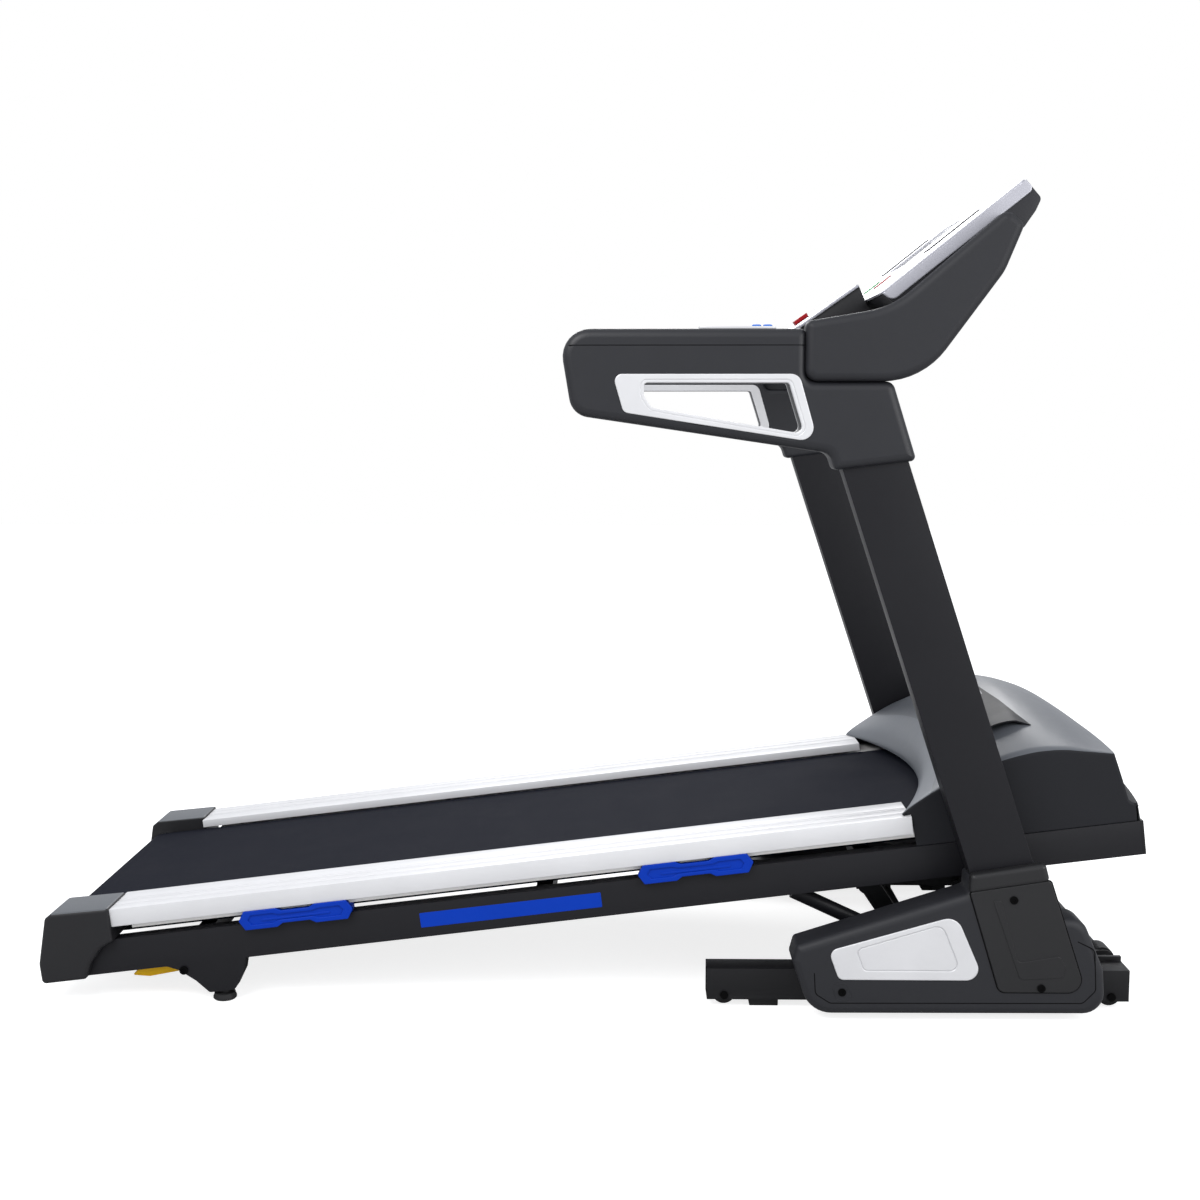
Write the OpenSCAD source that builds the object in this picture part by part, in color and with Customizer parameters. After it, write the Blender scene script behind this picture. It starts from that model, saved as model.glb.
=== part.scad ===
// Folding home treadmill, built as separate pieces. Millimetres, +X to the front, +Z up.
// The deck is drawn level in its own frame and tilted about the contact of its rear foot.

/* [Belt and deck] */
// width of the running belt
belt_w = 508; // [440:1:540]
// thickness of the running belt
belt_t = 2; // [1.5:0.5:3]
// slope of the deck at full incline, in degrees
deck_tilt = 7.05; // [4:0.05:9]
// height of the rail top over the foot contact, across the deck
rail_top = 188; // [180:1:196]
// gap between the side rails and the uprights
side_gap = 6; // [4:1:12]
// length of the side rails
rail_len = 1397; // [1300:1:1400]
// thickness of the running board
board_t = 19; // [16:1:19]
// radius of the rollers
roller_r = 24; // [20:1:25]
// height of the deck side tubes
tube_h = 59; // [50:1:60]
// width of the deck side tubes
tube_w = 30; // [24:1:34]

/* [Base] */
// outer half width over the base tubes
base_half = 366; // [360:1:366]
// width of the base tubes
base_tube_w = 50; // [46:1:54]
// height of the base tubes
base_tube_h = 55; // [52:1:60]
// underside of the base tubes over the floor
base_clear = 14; // [12:1:16]
// radius of the transport wheels
wheel_r = 20; // [18:1:21]
// width of the transport wheels
wheel_w = 22; // [16:1:30]

/* [Uprights] */
// lean of the masts from upright, in degrees
mast_lean = 18.4; // [18:0.1:19]
// depth of a mast, front to back
mast_d = 106; // [96:1:110]
// width of a mast, side to side
mast_w = 48; // [44:1:50]
// gap between base tube and mast, filled by the mast plate
mast_plate = 4; // [3:0.5:5]
// wall of the moulded shells
shell_t = 3; // [2.5:0.5:4]

/* [Lift] */
// radius of the lift axle
axle_r = 12; // [10:0.5:13]
// radius of the deck tilt pins
pin_r = 10; // [8:0.5:11]
// running clearance of every shaft in its hole, radial
run_gap = 0.06; // [0.03:0.01:0.1]

/* [Console] */
// slope of the console face, in degrees
face_slope = 38.5; // [36:0.5:40]
// how far the console stands out past the inner face of the masts
console_reach = 26; // [20:1:30]
// travel of the console keys
key_travel = 1; // [0.6:0.1:1.5]

/* [Hidden] */
$fn = 48;

shift_x = 45.5;                       // puts the origin under the middle of the whole
foot_x = -704;                      // contact of the rear foot
foot_r = 60;                        // radius of its round underside
pivot = [847, 58];                  // lift axle, X and Z
p2 = [1150, 52];                    // deck tilt pin in the deck's own frame
tube_bot = 73;                      // underside of the deck tubes in the deck's own frame
tube_top = tube_bot + tube_h;
board_top = rail_top - 21;
board_bot = board_top - board_t;
belt_top = board_top + belt_t + 1;
roller_z = belt_top - belt_t - roller_r;
rail_half = base_half - side_gap;
rail_x1 = 1225;
rail_x0 = rail_x1 - rail_len;
rear_x = rail_x0 - 90;
front_x = 1330;
tube_out = rail_half - 8;
tube_in = tube_out - tube_w;
base_in = base_half - base_tube_w;
base_top = base_clear + base_tube_h;
base_mid = base_half - base_tube_w / 2;
mast_in = base_half + mast_plate;
mast_out = mast_in + mast_w;
base_x0 = 141;
base_x1 = 868;
wheel_x = [171, 838];
wheel_z = wheel_r + 2;
bolt_r = 4;
cyl_b = [612, 40];                  // lower pin of the gas strut
cyl_eye = [979.5, 84.5];            // its upper pin in the deck's own frame
cyl_a = deck_pt(cyl_eye[0], cyl_eye[1]);
mot_a = deck_pt(1489, 219);          // upper pivot of the incline actuator
mot_b = [787, 75];                  // its lower pivot
mr_x = 1470;                        // drive motor in the deck's own frame
mr_z = 165;

ink = [0.09, 0.09, 0.10];
tex = [0.15, 0.15, 0.16];
silver = [0.80, 0.81, 0.82];
steel = [0.55, 0.56, 0.58];
blue = [0.05, 0.25, 0.80];

// ---- helpers ----
function unit(v) = v / norm(v);
function deck_pt(x, z) = [foot_x + x * cos(deck_tilt) - z * sin(deck_tilt),
  foot_r * (1 - cos(deck_tilt)) + x * sin(deck_tilt) + z * cos(deck_tilt)];
function arc_at(a, b, c, r, n) = r <= 0 ? [b] :
  let (u = unit(a - b), v = unit(c - b), h = acos(max(-1, min(1, u * v))) / 2,
       d = r / tan(h), m = b + unit(u + v) * r / sin(h), s = b + u * d - m, e = b + v * d - m,
       a0 = atan2(s[1], s[0]), w = atan2(e[1], e[0]) - a0,
       t = w > 180 ? w - 360 : w < -180 ? w + 360 : w)
  [for (k = [0:n]) m + r * [cos(a0 + t * k / n), sin(a0 + t * k / n)]];
// polygon corners given as [x, z, radius]
function soft(p, n = 4) = [for (i = [0:len(p) - 1])
  let (q = len(p), a = p[(i + q - 1) % q], b = p[i], c = p[(i + 1) % q])
  for (w = arc_at([a[0], a[1]], [b[0], b[1]], [c[0], c[1]], b[2], n)) w];
function area2(p, i = 0) = i >= len(p) ? 0 :
  p[i][0] * p[(i + 1) % len(p)][1] - p[(i + 1) % len(p)][0] * p[i][1] + area2(p, i + 1);
// the same outline moved inward by d
function inset(p, d) = let (s = area2(p) > 0 ? 1 : -1, q = len(p)) [for (i = [0:q - 1])
  let (a = p[(i + q - 1) % q], b = p[i], c = p[(i + 1) % q],
       u = unit([b[0] - a[0], b[1] - a[1]]), v = unit([c[0] - b[0], c[1] - b[1]]),
       nu = s * [-u[1], u[0]], nv = s * [-v[1], v[0]], k = d / (1 + nu * nv))
  [b[0] + k * (nu[0] + nv[0]), b[1] + k * (nu[1] + nv[1]), max(0, b[2] - d)]];
module slab(y0, y1) rotate([90, 0, 0]) translate([0, 0, -y1]) linear_extrude(y1 - y0) children();
module side(p, y0, y1) slab(y0, y1) polygon(soft(p));
module box(x, y, z) translate([x[0], y[0], z[0]]) cube([x[1] - x[0], y[1] - y[0], z[1] - z[0]]);
module rod_y(x, z, r, y0, y1) translate([x, y1, z]) rotate([90, 0, 0]) cylinder(r = r, h = y1 - y0);
module both() { children(); mirror([0, 1, 0]) children(); }
module here() translate([shift_x, 0, 0]) children();
module on_deck() translate([shift_x + foot_x, 0, foot_r * (1 - cos(deck_tilt))])
  rotate([0, -deck_tilt, 0]) children();
face_at = [416, 1214];
panel_at = [296, 1166];
panel_slope = 35;
function turned(x, z, a) = [x * cos(a) - z * sin(a), x * sin(a) + z * cos(a)];
function face_pt(x, z) = face_at + turned(x, z, face_slope);
function panel_pt(x, z) = panel_at + turned(x, z, panel_slope);
module on_face() translate([shift_x + face_at[0], 0, face_at[1]]) rotate([0, -face_slope, 0]) children();
module on_panel() translate([shift_x + panel_at[0], 0, panel_at[1]]) rotate([0, -panel_slope, 0]) children();
module bar(a, b, w, y0, y1) {
  l = norm(b - a);
  translate([a[0], 0, a[1]]) rotate([0, -atan2(b[1] - a[1], b[0] - a[0]), 0])
    box([0, l], [y0, y1], [-w / 2, w / 2]);
}

module tube_bar(a, b, w, y0, y1) difference() {
  bar(a, b, w, y0, y1);
  bar(a + 24 * unit(b - a), b - 24 * unit(b - a), w - 6, y0 + 3, y1 - 3);
}

// ---- base ----
module base_tube() difference() {
  box([base_x0, base_x1], [base_in, base_half], [base_clear, base_top]);
  box([base_x0 - 1, base_x1 + 1], [base_in + 3, base_half - 3], [base_clear + 3, base_top - 3]);
  for (x = wheel_x) box([x - wheel_r - 4, x + wheel_r + 4],
    [base_mid - wheel_w / 2 - 2, base_mid + wheel_w / 2 + 2], [base_clear - 1, base_clear + 4]);
}
module base_frame() color(ink) here() difference() {
  union() {
    both() {
      base_tube();
      box([pivot[0] - 26, base_x1], [base_in - 8, base_in], [base_clear, base_top + 8]);
      box([mast_foot[0] - mast_half + 6, mast_foot[0] + mast_half - 6], [base_half, mast_in],
        [base_clear + shell_t + 2, base_top - 2]);
    }
    box([530, 570], [-base_in + 1, base_in - 1], [6, 12]);
    both() box([530, 570], [base_in - 8, base_in], [6, base_clear + 16]);
    box([pivot[0] - 20, pivot[0] + 20], [-base_in, base_in], [6, 32]);
  }
  both() {
    rod_y(pivot[0], pivot[1], axle_r + run_gap, base_in - 9, base_in + 0.5);
    for (x = wheel_x) rod_y(x, wheel_z, bolt_r, base_in - 1, base_half + 1);
  }
}
module rest_pads() color(tex) here() both() for (x = [215, 640])
  box([x, x + 50], [base_in + 8, base_half - 8], [0, base_clear]);
module wheel(x, s) color([0.2, 0.2, 0.2]) here() difference() {
  rod_y(x, wheel_z, wheel_r, s * base_mid - wheel_w / 2, s * base_mid + wheel_w / 2);
  rod_y(x, wheel_z, bolt_r + run_gap, s * base_mid - wheel_w, s * base_mid + wheel_w);
}
module wheel_rear_right() wheel(wheel_x[0], -1);
module wheel_rear_left() wheel(wheel_x[0], 1);
module wheel_front_right() wheel(wheel_x[1], -1);
module wheel_front_left() wheel(wheel_x[1], 1);
module wheel_bolts() color(steel) here() both() for (x = wheel_x) {
  rod_y(x, wheel_z, bolt_r, base_in - 1, base_half + 1);
  rod_y(x, wheel_z, 7, base_half, base_half + 3);
}
// ---- masts ----
mast_foot = [711, 22];
module mast(y0) here() difference() {
  slab(y0, y0 + mast_w) polygon(mast_line(0));
  slab(y0 + 2.5, y0 + mast_w - 2.5) polygon(mast_line(2.5));
}
mast_h = 1040;
function mast_x(z) = mast_foot[0] - (z - mast_foot[1]) * tan(mast_lean);
mast_half = mast_d / cos(mast_lean) / 2;
function mast_line(t) = let (h = mast_half - t / cos(mast_lean), a = mast_foot[1] - (t > 0 ? 1 : 0),
  b = mast_h + (t > 0 ? 1 : 0))
  [[mast_x(a) - h, a], [mast_x(a) + h, a], [mast_x(b) + h, b], [mast_x(b) - h, b]];
module mast_right() color(ink) mast(-mast_out);
module mast_left() color(ink) mast(mast_in);

// ---- base covers ----
cover_out = mast_out + 16;
cover_in = base_half;
cover_line = [[288, 131, 6], [281, 105, 14], [312, 13, 50], [810, 15, 45], [804, 92, 30],
  [768, 178, 40], [730, 182, 10], [706, 250, 14], [688, 272, 6], [575, 250, 6],
  [574, 224, 4], [460, 187, 8]];
module cover_half() here() difference() {
  side(cover_line, cover_in, cover_out);
  side(inset(cover_line, shell_t), cover_in - 1, cover_out - shell_t);
  slab(mast_in - 4, mast_out + 0.4) polygon([[mast_x(150) - mast_half - 1, 150],
    [mast_x(150) + mast_half + 1, 150], [mast_x(300) + mast_half + 1, 300],
    [mast_x(300) - mast_half - 1, 300]]);
}
module base_cover_left() color(tex) cover_half();
module base_cover_right() color(tex) mirror([0, 1, 0]) cover_half();
module cover_inserts() color(silver) here() both() difference() {
  side([[359, 75, 12], [341, 125, 14], [554, 187, 26], [603, 75, 20]], cover_out, cover_out + 2);
  side([[401, 92, 8], [388, 127, 8], [530, 171, 16], [562, 92, 12]], cover_out + 1, cover_out + 3);
}
module boot_plates() color(tex) here() both()
  side([[575, 227, 4], [709, 248, 6], [773, 55, 22], [628, 55, 14]], cover_out, cover_out + 4);
module cover_screws() color(steel) here() both() {
  rod_y(365, 53, 6, cover_out, cover_out + 1.5);
  for (p = [[698, 63], [648, 215]]) rod_y(p[0], p[1], 6, cover_out + 4, cover_out + 5.5);
}

// ---- arms ----
console_half = mast_in + console_reach;
arm_out = mast_out + 12;
arm_line = [[-112, 1158, 45], [289, 1158, 3], [289, 1073, 3], [432, 1073, 6], [473, 945, 6],
  [339, 929, 6], [330, 957, 14], [-89, 1019, 35]];
// the hand opening that goes right through the arm
hand_line = [[28, 1071, 6], [263, 1071, 6], [289, 988, 10], [40, 1031, 16], [28, 1050, 10]];
arm_in = mast_in - 4;
module arm_half() here() difference() {
  side(arm_line, arm_in, arm_out);
  difference() {
    side(inset(arm_line, shell_t), arm_in + shell_t, arm_out - shell_t);
    side(inset(hand_line, -shell_t), arm_in, arm_out);
  }
  side(hand_line, arm_in - 1, arm_out + 1);
  slab(mast_in, mast_out) polygon([[mast_x(900) - mast_half, 900],
    [mast_x(900) + mast_half, 900], [mast_x(960) + mast_half, 960], [mast_x(960) - mast_half, 960]]);
}
module arm_shell_left() color(tex) arm_half();
module arm_shell_right() color(tex) mirror([0, 1, 0]) arm_half();
trim_line = [[-23, 1085, 12], [279, 1085, 18], [311, 974, 20], [-5, 1023, 12]];
module arm_trims() color(silver) here() both() for (y = [[arm_out, arm_out + 2], [arm_in - 1.2, arm_in]])
  difference() {
    side(trim_line, y[0], y[1]);
    side(hand_line, y[0] - 1, y[1] + 1);
  }
pod_y = [mast_in + 4, mast_out - 2];
module button_pods() color(silver) here() both() difference() {
  box([118, 242], pod_y, [1158, 1162]);
  for (x = button_x) translate([x, (pod_y[0] + pod_y[1]) / 2, 1150]) cylinder(r = 7.8, h = 20);
}
button_x = [212, 230];
module button(x, s) color(blue) here() translate([x, s * (pod_y[0] + pod_y[1]) / 2, 1159.5])
  cylinder(r = 7.5, h = 6);
module speed_button_up() button(button_x[1], -1);
module speed_button_down() button(button_x[0], -1);
module incline_button_up() button(button_x[1], 1);
module incline_button_down() button(button_x[0], 1);

// ---- console ----
wing_line = [[289, 1169, 10], [289, 1073, 18], [478, 1073, 125], [606, 1248, 90],
  [636, 1322, 12], [608, 1346, 14], [428, 1192, 150]];
module wing_half() here() difference() {
  side(wing_line, console_half, arm_out + 6);
  side(inset(wing_line, shell_t), console_half - 1, arm_out + 6 - shell_t);
}
module console_wing_left() color(tex) wing_half();
module console_wing_right() color(tex) mirror([0, 1, 0]) wing_half();
wedge = [panel_pt(4, 0), panel_pt(126, 0), [412, 1210], [424, 1192], [424, 1126], [330, 1146]];
wedge_line = [for (w = wedge) [w[0], w[1], 0]];
module console_frame() color(ink) here() difference() {
  union() {
    box([424, 464], [-arm_out - 6 + shell_t, arm_out + 6 - shell_t], [1100, 1130]);
    both() slab(200, 240)
      polygon([[425, 1126], [463, 1126], face_pt(100, -58.86), face_pt(18, -29.57)]);
    difference() {
      side(wedge_line, -246, 246);
      side(inset(wedge_line, shell_t), -243, 243);
      box([400, 423], [-30, 30], [1132, 1180]);
      box([410, 430], [-30, 30], [1136, 1176]);
    }
  }
  box([427, 461], [-arm_out - 7, arm_out + 7], [1103, 1127]);
}
con_len = 291;
con_line = [[0, 0, 4], [con_len, 0, 3], [293, -38, 8], [274, -48, 6], [245, -57, 10],
  [120, -66, 14], [8, -26, 6]];
// rim of the bezel that wraps the ends of the shell
band_line = [[0, 0, 3], [con_len, 0, 3], [con_len + 1, -19, 8], [8, -23, 8]];
band_t = 2.5;
module console_shell() color(tex) on_face() difference() {
  side(con_line, band_t - console_half, console_half - band_t);
  side(inset(con_line, shell_t), band_t + shell_t - console_half, console_half - band_t - shell_t);
  box([30, 256], [-300, 300], [-6, 1]);
}
module rocker_pin(s, r) rod_y(185, 2, r, s * 230 - 21, s * 230 + 21);
module console_bezel() color(silver) on_face() {
  for (s = [-1, 1]) rocker_pin(s, 1.2);
  bezel_plate();
  both() side(band_line, console_half - band_t, console_half);
}
module bezel_plate() difference() {
  box([0, con_len], [-console_half, console_half], [0, 4]);
  box([120, 262], [-150, 150], [-1, 5]);
  for (y = [-60, 60]) translate([70, y, -1]) cylinder(r = 20.4, h = 6);
  for (s = [-1, 1]) box([129.6, 240.4], [s * 230 - 20.4, s * 230 + 20.4], [-1, 5]);
}
module console_screen() color([0.03, 0.05, 0.07]) on_face() box([120, 262], [-150, 150], [0, 3]);
module round_key(y) on_face() translate([70, y, -1]) cylinder(r = 20, h = 7);
module start_key() color([0.1, 0.6, 0.25]) round_key(60);
module stop_key() color([0.8, 0.1, 0.1]) round_key(-60);
module rocker(s) on_face() difference() {
  box([130, 240], [s * 230 - 20, s * 230 + 20], [-1, 6]);
  rocker_pin(s, 1.2 + run_gap);
}
module speed_rocker() color(tex) rocker(-1);
module incline_rocker() color(tex) rocker(1);
module lower_panel() color(silver) on_panel() difference() {
  box([4, 126], [-250, 250], [0, 5]);
  box([27, 59], [-10.5, 10.5], [-1, 6]);
}
module safety_key() color([0.8, 0.08, 0.08]) on_panel() {
  box([27.5, 58.5], [-10, 10], [0, 6]);
  box([29, 57], [-14, 14], [6, 13]);
}

// ---- lift ----
lift_out = tube_in - 50;
yoke_in = lift_out + 6;
yoke_out = yoke_in + 6;
cyl_y = -yoke_out - 14;
yoke_line = [[pivot[0] + 20, 38, 18], [pivot[0] + 20, 78, 18], [780, 74, 30], [560, 56, 40],
  [330, 56, 12], [330, 26, 12], [760, 26, 40], [815, 38, 20]];
module fold_yoke() color(ink) here() difference() {
  union() {
    rod_y(pivot[0], pivot[1], axle_r, -base_in + 0.5, base_in - 0.5);
    both() side(yoke_line, yoke_in, yoke_out);
  }
  both() for (x = [380, 470, 700]) rod_y(x, 42, 8, yoke_in - 1, yoke_out + 1);
  rod_y(cyl_b[0], cyl_b[1], 8, -yoke_out - 1, -yoke_in + 1);
}
lift_in = lift_out - 28;
lift_c = [477, 125];
lift_p = deck_pt(p2[0], p2[1]);
module lift_frame() color(ink) here() difference() {
  union() {
    both() {
      rod_y(pivot[0], pivot[1], 22, lift_in - 8, lift_out + 4);
      tube_bar(pivot, lift_c, 28, lift_in, lift_out);
      rod_y(lift_c[0], lift_c[1], 18, lift_in, lift_out);
      tube_bar(lift_c, lift_p, 34, lift_in, lift_out);
      rod_y(lift_p[0], lift_p[1], 20, lift_in, lift_out);
      rod_y(lift_p[0], lift_p[1], pin_r, lift_in - 22, lift_in + 1);
    }
    box([lift_c[0] - 12, lift_c[0] + 12], [-lift_in - 1, lift_in + 1], [lift_c[1] - 12, lift_c[1] + 12]);
    box([734, 758], [-lift_in - 1, lift_in + 1], [pivot[1] - 2, pivot[1] + 22]);
    both() box([740, mot_b[0] + 16], [22, 30], [pivot[1], mot_b[1] + 16]);
    rod_y(mot_b[0], mot_b[1], 4, -30, 30);
  }
  both() rod_y(pivot[0], pivot[1], axle_r + run_gap, lift_in - 9, lift_out + 9);
}
function dir(a, b) = atan2(b[1] - a[1], b[0] - a[0]);
module along(a, b, y) translate([shift_x + a[0], y, a[1]]) rotate([0, 90 - dir(a, b), 0]) children();
module cylinder_pin() color(steel) here() {
  rod_y(cyl_b[0], cyl_b[1], 8, cyl_y - 12, -yoke_in);
  rod_y(cyl_b[0], cyl_b[1], 11, cyl_y - 13, cyl_y - 10.5);
}
cyl_l = norm(cyl_a - cyl_b);
module cylinder_barrel() color(ink) along(cyl_b, cyl_a, cyl_y) difference() {
  union() {
    rotate([90, 0, 0]) translate([0, 0, -9]) cylinder(r = 14, h = 18);
    translate([0, 0, 12]) cylinder(r = 13, h = cyl_l - 52);
  }
  rotate([90, 0, 0]) translate([0, 0, -20]) cylinder(r = 8 + run_gap, h = 40);
  translate([0, 0, 24]) cylinder(r = 6 + run_gap, h = cyl_l);
}
module cylinder_rod() color(steel) along(cyl_b, cyl_a, cyl_y) difference() {
  union() {
    translate([0, 0, 42]) cylinder(r = 6, h = cyl_l - 50);
    translate([0, 0, cyl_l]) rotate([90, 0, 0]) translate([0, 0, -8]) cylinder(r = 12, h = 16);
  }
  translate([0, 0, cyl_l]) rotate([90, 0, 0]) translate([0, 0, -20]) cylinder(r = 6, h = 40);
}
mot_l = norm(mot_a - mot_b);
module incline_motor() color(ink) along(mot_a, mot_b, 0) difference() {
  union() {
    rotate([90, 0, 0]) translate([0, 0, -12]) cylinder(r = 16, h = 24);
    translate([0, 0, 12]) cylinder(r = 20, h = 165);
    translate([-52, -24, 20]) cube([36, 48, 90]);
  }
  rotate([90, 0, 0]) translate([0, 0, -20]) cylinder(r = 6 + run_gap, h = 40);
  translate([0, 0, 24]) cylinder(r = 13 + run_gap, h = 200);
}
module incline_screw() color(steel) along(mot_a, mot_b, 0) difference() {
  union() {
    translate([0, 0, 165]) cylinder(r = 13, h = mot_l - 173);
    translate([0, 0, mot_l]) rotate([90, 0, 0]) translate([0, 0, -14]) cylinder(r = 14, h = 28);
  }
  translate([0, 0, mot_l]) rotate([90, 0, 0]) translate([0, 0, -20]) cylinder(r = 6, h = 40);
}

// ---- deck ----
module deck_tube() difference() {
  box([rail_x0 - 112, 1612], [tube_in, tube_out], [tube_bot, tube_top]);
  box([rail_x0 - 113, 1613], [tube_in + 2.5, tube_out - 2.5], [tube_bot + 2.5, tube_top - 2.5]);
}
ear = [1489, 219];
module cross_tube(x, z, w, y) difference() {
  box([x, x + w], [-y, y], [z, z + w]);
  box([x + 2, x + w - 2], [-y - 1, y + 1], [z + 2, z + w - 2]);
}
lever = [-66, 64];
module deck_frame() color(ink) on_deck() difference() {
  union() {
    both() {
      deck_tube();
      box([p2[0] - 18, p2[0] + 18], [lift_in - 20, lift_in - 4], [p2[1] - 18, tube_bot + 4]);
      side([[1402, 80, 0], [1430, 80, 0], [ear[0] + 14, ear[1] - 14, 4], [ear[0] + 14, ear[1] + 14, 8],
        [ear[0] - 16, ear[1] + 14, 8], [1402, 130, 0]], 27, 33);
      side([[-91, tube_bot + 1, 0], [-69, 64, 8], [-42, 42, 12], [-21, 18, 6], [24, 18, 8],
        [44, 49, 10], [51, tube_bot + 1, 0]], tube_in, tube_out);
      for (x = [rear_x - 14, front_x - 14])
        box([x, x + 28], [tube_in - 8, tube_in + 1], [tube_bot + 20, roller_z + 16]);
    }
    for (x = [-60, 560, p2[0] - 15, 1400]) cross_tube(x, tube_bot + 2, 30, tube_in + 1);
    rod_y(ear[0], ear[1], 6, -33, 33);
    box([cyl_eye[0] - 16, cyl_eye[0] + 16], [-tube_in - 1, cyl_y - 11], [tube_bot, cyl_eye[1] + 16]);
    rod_y(cyl_eye[0], cyl_eye[1], 5, -tube_in, cyl_y + 9);
    rod_y(lever[0], lever[1], 4, -tube_in - 3, -tube_in + 30);
  }
  both() {
    rod_y(p2[0], p2[1], pin_r + run_gap, lift_in - 21, lift_in - 3);
    for (x = [rear_x, front_x]) rod_y(x, roller_z, 6, tube_in - 9, tube_in + 1);
  }
}
module running_board() color([0.86, 0.86, 0.85]) on_deck()
  box([rail_x0 + 32, front_x - 44], [-rail_half + 12, rail_half - 12], [board_bot, board_top]);
module belt_loop(r, w) slab(-w, w) {
  translate([rear_x, roller_z]) circle(r = r);
  translate([front_x, roller_z]) circle(r = r);
  translate([rear_x, roller_z - r]) square([front_x - rear_x, 2 * r]);
}
module running_belt() color([0.2, 0.2, 0.23]) on_deck() difference() {
  belt_loop(roller_r + belt_t, belt_w / 2);
  belt_loop(roller_r + 0.05, belt_w);
}
module roller_core(x) {
  rod_y(x, roller_z, roller_r - 3, -belt_w / 2 + 8, belt_w / 2 - 8);
  rod_y(x, roller_z, 6 + run_gap, -400, 400);
}
module roller(x) on_deck() difference() {
  rod_y(x, roller_z, roller_r, -belt_w / 2 - 12, belt_w / 2 + 12);
  roller_core(x);
}
module front_roller() color(steel) on_deck() difference() {
  union() {
    rod_y(front_x, roller_z, roller_r, -belt_w / 2 - 12, belt_w / 2 + 12);
    rod_y(front_x, roller_z, 38, belt_w / 2 + 12, belt_w / 2 + 32);
  }
  roller_core(front_x);
}
module rear_roller() color(steel) roller(rear_x);
module roller_bolts() color(steel) on_deck() for (x = [rear_x, front_x])
  rod_y(x, roller_z, 6, -tube_in, tube_in);
module rail_half_shape() difference() {
  box([rail_x0, rail_x1], [belt_w / 2 + 1, rail_half], [board_bot + 9, rail_top]);
  box([rail_x0 - 1, rail_x1 + 1], [belt_w / 2, rail_half - 3], [board_bot, board_top]);
  box([rail_x0 - 1, rail_x1 + 1], [belt_w / 2, 300], [board_top - 1, belt_top + 3]);
  box([rail_x0 - 1, rail_x1 + 1], [belt_w / 2 + 4, rail_half - 3], [belt_top + 2, rail_top - 3]);
  for (y = [296, 304, 330]) box([rail_x0 - 1, rail_x1 + 1], [y, y + 3], [rail_top - 1, rail_top + 1]);
}
module side_rail_left() color([0.93, 0.93, 0.92]) on_deck() rail_half_shape();
module side_rail_right() color([0.93, 0.93, 0.92]) on_deck() mirror([0, 1, 0]) rail_half_shape();
cap_line = [for (p = [[-112, 186, 6], [-99, 194, 6], [0, 192, 2], [0, 133, 2], [-22, 123, 14],
  [-44, 97, 10], [-57, 71, 3], [-134, 71, 6], [-134, 107, 20]]) [rail_x0 + p[0], p[1], p[2]]];
module cap_half() difference() {
  side(cap_line, belt_w / 2 + 14, rail_half + 8);
  side(inset(cap_line, shell_t), belt_w / 2 + 14 + shell_t, rail_half + 8 - shell_t);
  box([rail_x0 - 118, rail_x0 + 1], [belt_w / 2 + 10, tube_out], [60, roller_z + 22]);
}
module rear_cap_left() color(tex) on_deck() cap_half();
module rear_cap_right() color(tex) on_deck() mirror([0, 1, 0]) cap_half();
module cushion(x) {
  box([x + 4, x + 196], [tube_in, tube_out], [tube_top, board_bot]);
  side([[x, board_bot, 0], [x + 14, board_bot + 8.5, 0], [x + 186, board_bot + 8.5, 0],
    [x + 200, board_bot, 0], [x + 186, tube_top - 8, 0], [x + 14, tube_top - 8, 0]],
    tube_out, rail_half + 3);
}
module deck_cushions() color(blue) on_deck() both() for (x = [51, 748]) cushion(x);
module drive_motor() color(ink) on_deck() difference() {
  union() {
    rod_y(mr_x, mr_z, 48, 60, 210);
    box([mr_x - 40, mr_x + 40], [80, 190], [tube_bot + 8, mr_z]);
  }
  rod_y(mr_x, mr_z, 8 + run_gap, 40, 230);
}
module motor_rotor() color(steel) on_deck() {
  rod_y(mr_x, mr_z, 8, 60, 290);
  rod_y(mr_x, mr_z, 44, 214, 240);
  rod_y(mr_x, mr_z, 19, belt_w / 2 + 12, belt_w / 2 + 32);
}
module drive_belt() color([0.08, 0.08, 0.08]) on_deck() {
  c = mr_x - front_x;
  difference() {
    slab(belt_w / 2 + 14, belt_w / 2 + 30) union() {
      translate([front_x, roller_z]) circle(r = 41);
      translate([mr_x, mr_z]) circle(r = 22);
      polygon([[front_x, roller_z + 41], [front_x, roller_z - 41], [mr_x, mr_z - 22], [mr_x, mr_z + 22]]);
    }
    slab(belt_w / 2 + 10, belt_w / 2 + 34) union() {
      translate([front_x, roller_z]) circle(r = 38.05);
      translate([mr_x, mr_z]) circle(r = 19.05);
      polygon([[front_x, roller_z + 38], [front_x, roller_z - 38], [mr_x, mr_z - 19], [mr_x, mr_z + 19]]);
    }
  }
}
module motor_pan() color(ink) on_deck() { switch_pin(1.5); difference() {
  union() {
    box([1430, 1618], [-tube_in, tube_in], [tube_bot + 2, tube_bot + 8]);
    box([1612, 1618], [-tube_out, tube_out], [tube_bot, tube_top]);
  }
  box([1440, 1540], [-50, 50], [tube_bot, tube_bot + 10]);
  box([1611, 1619], [-232, -204], [tube_bot + 18, tube_bot + 42]);
} }
module switch_pin(r) rod_y(1615, tube_bot + 30, r, -233, -203);
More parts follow.
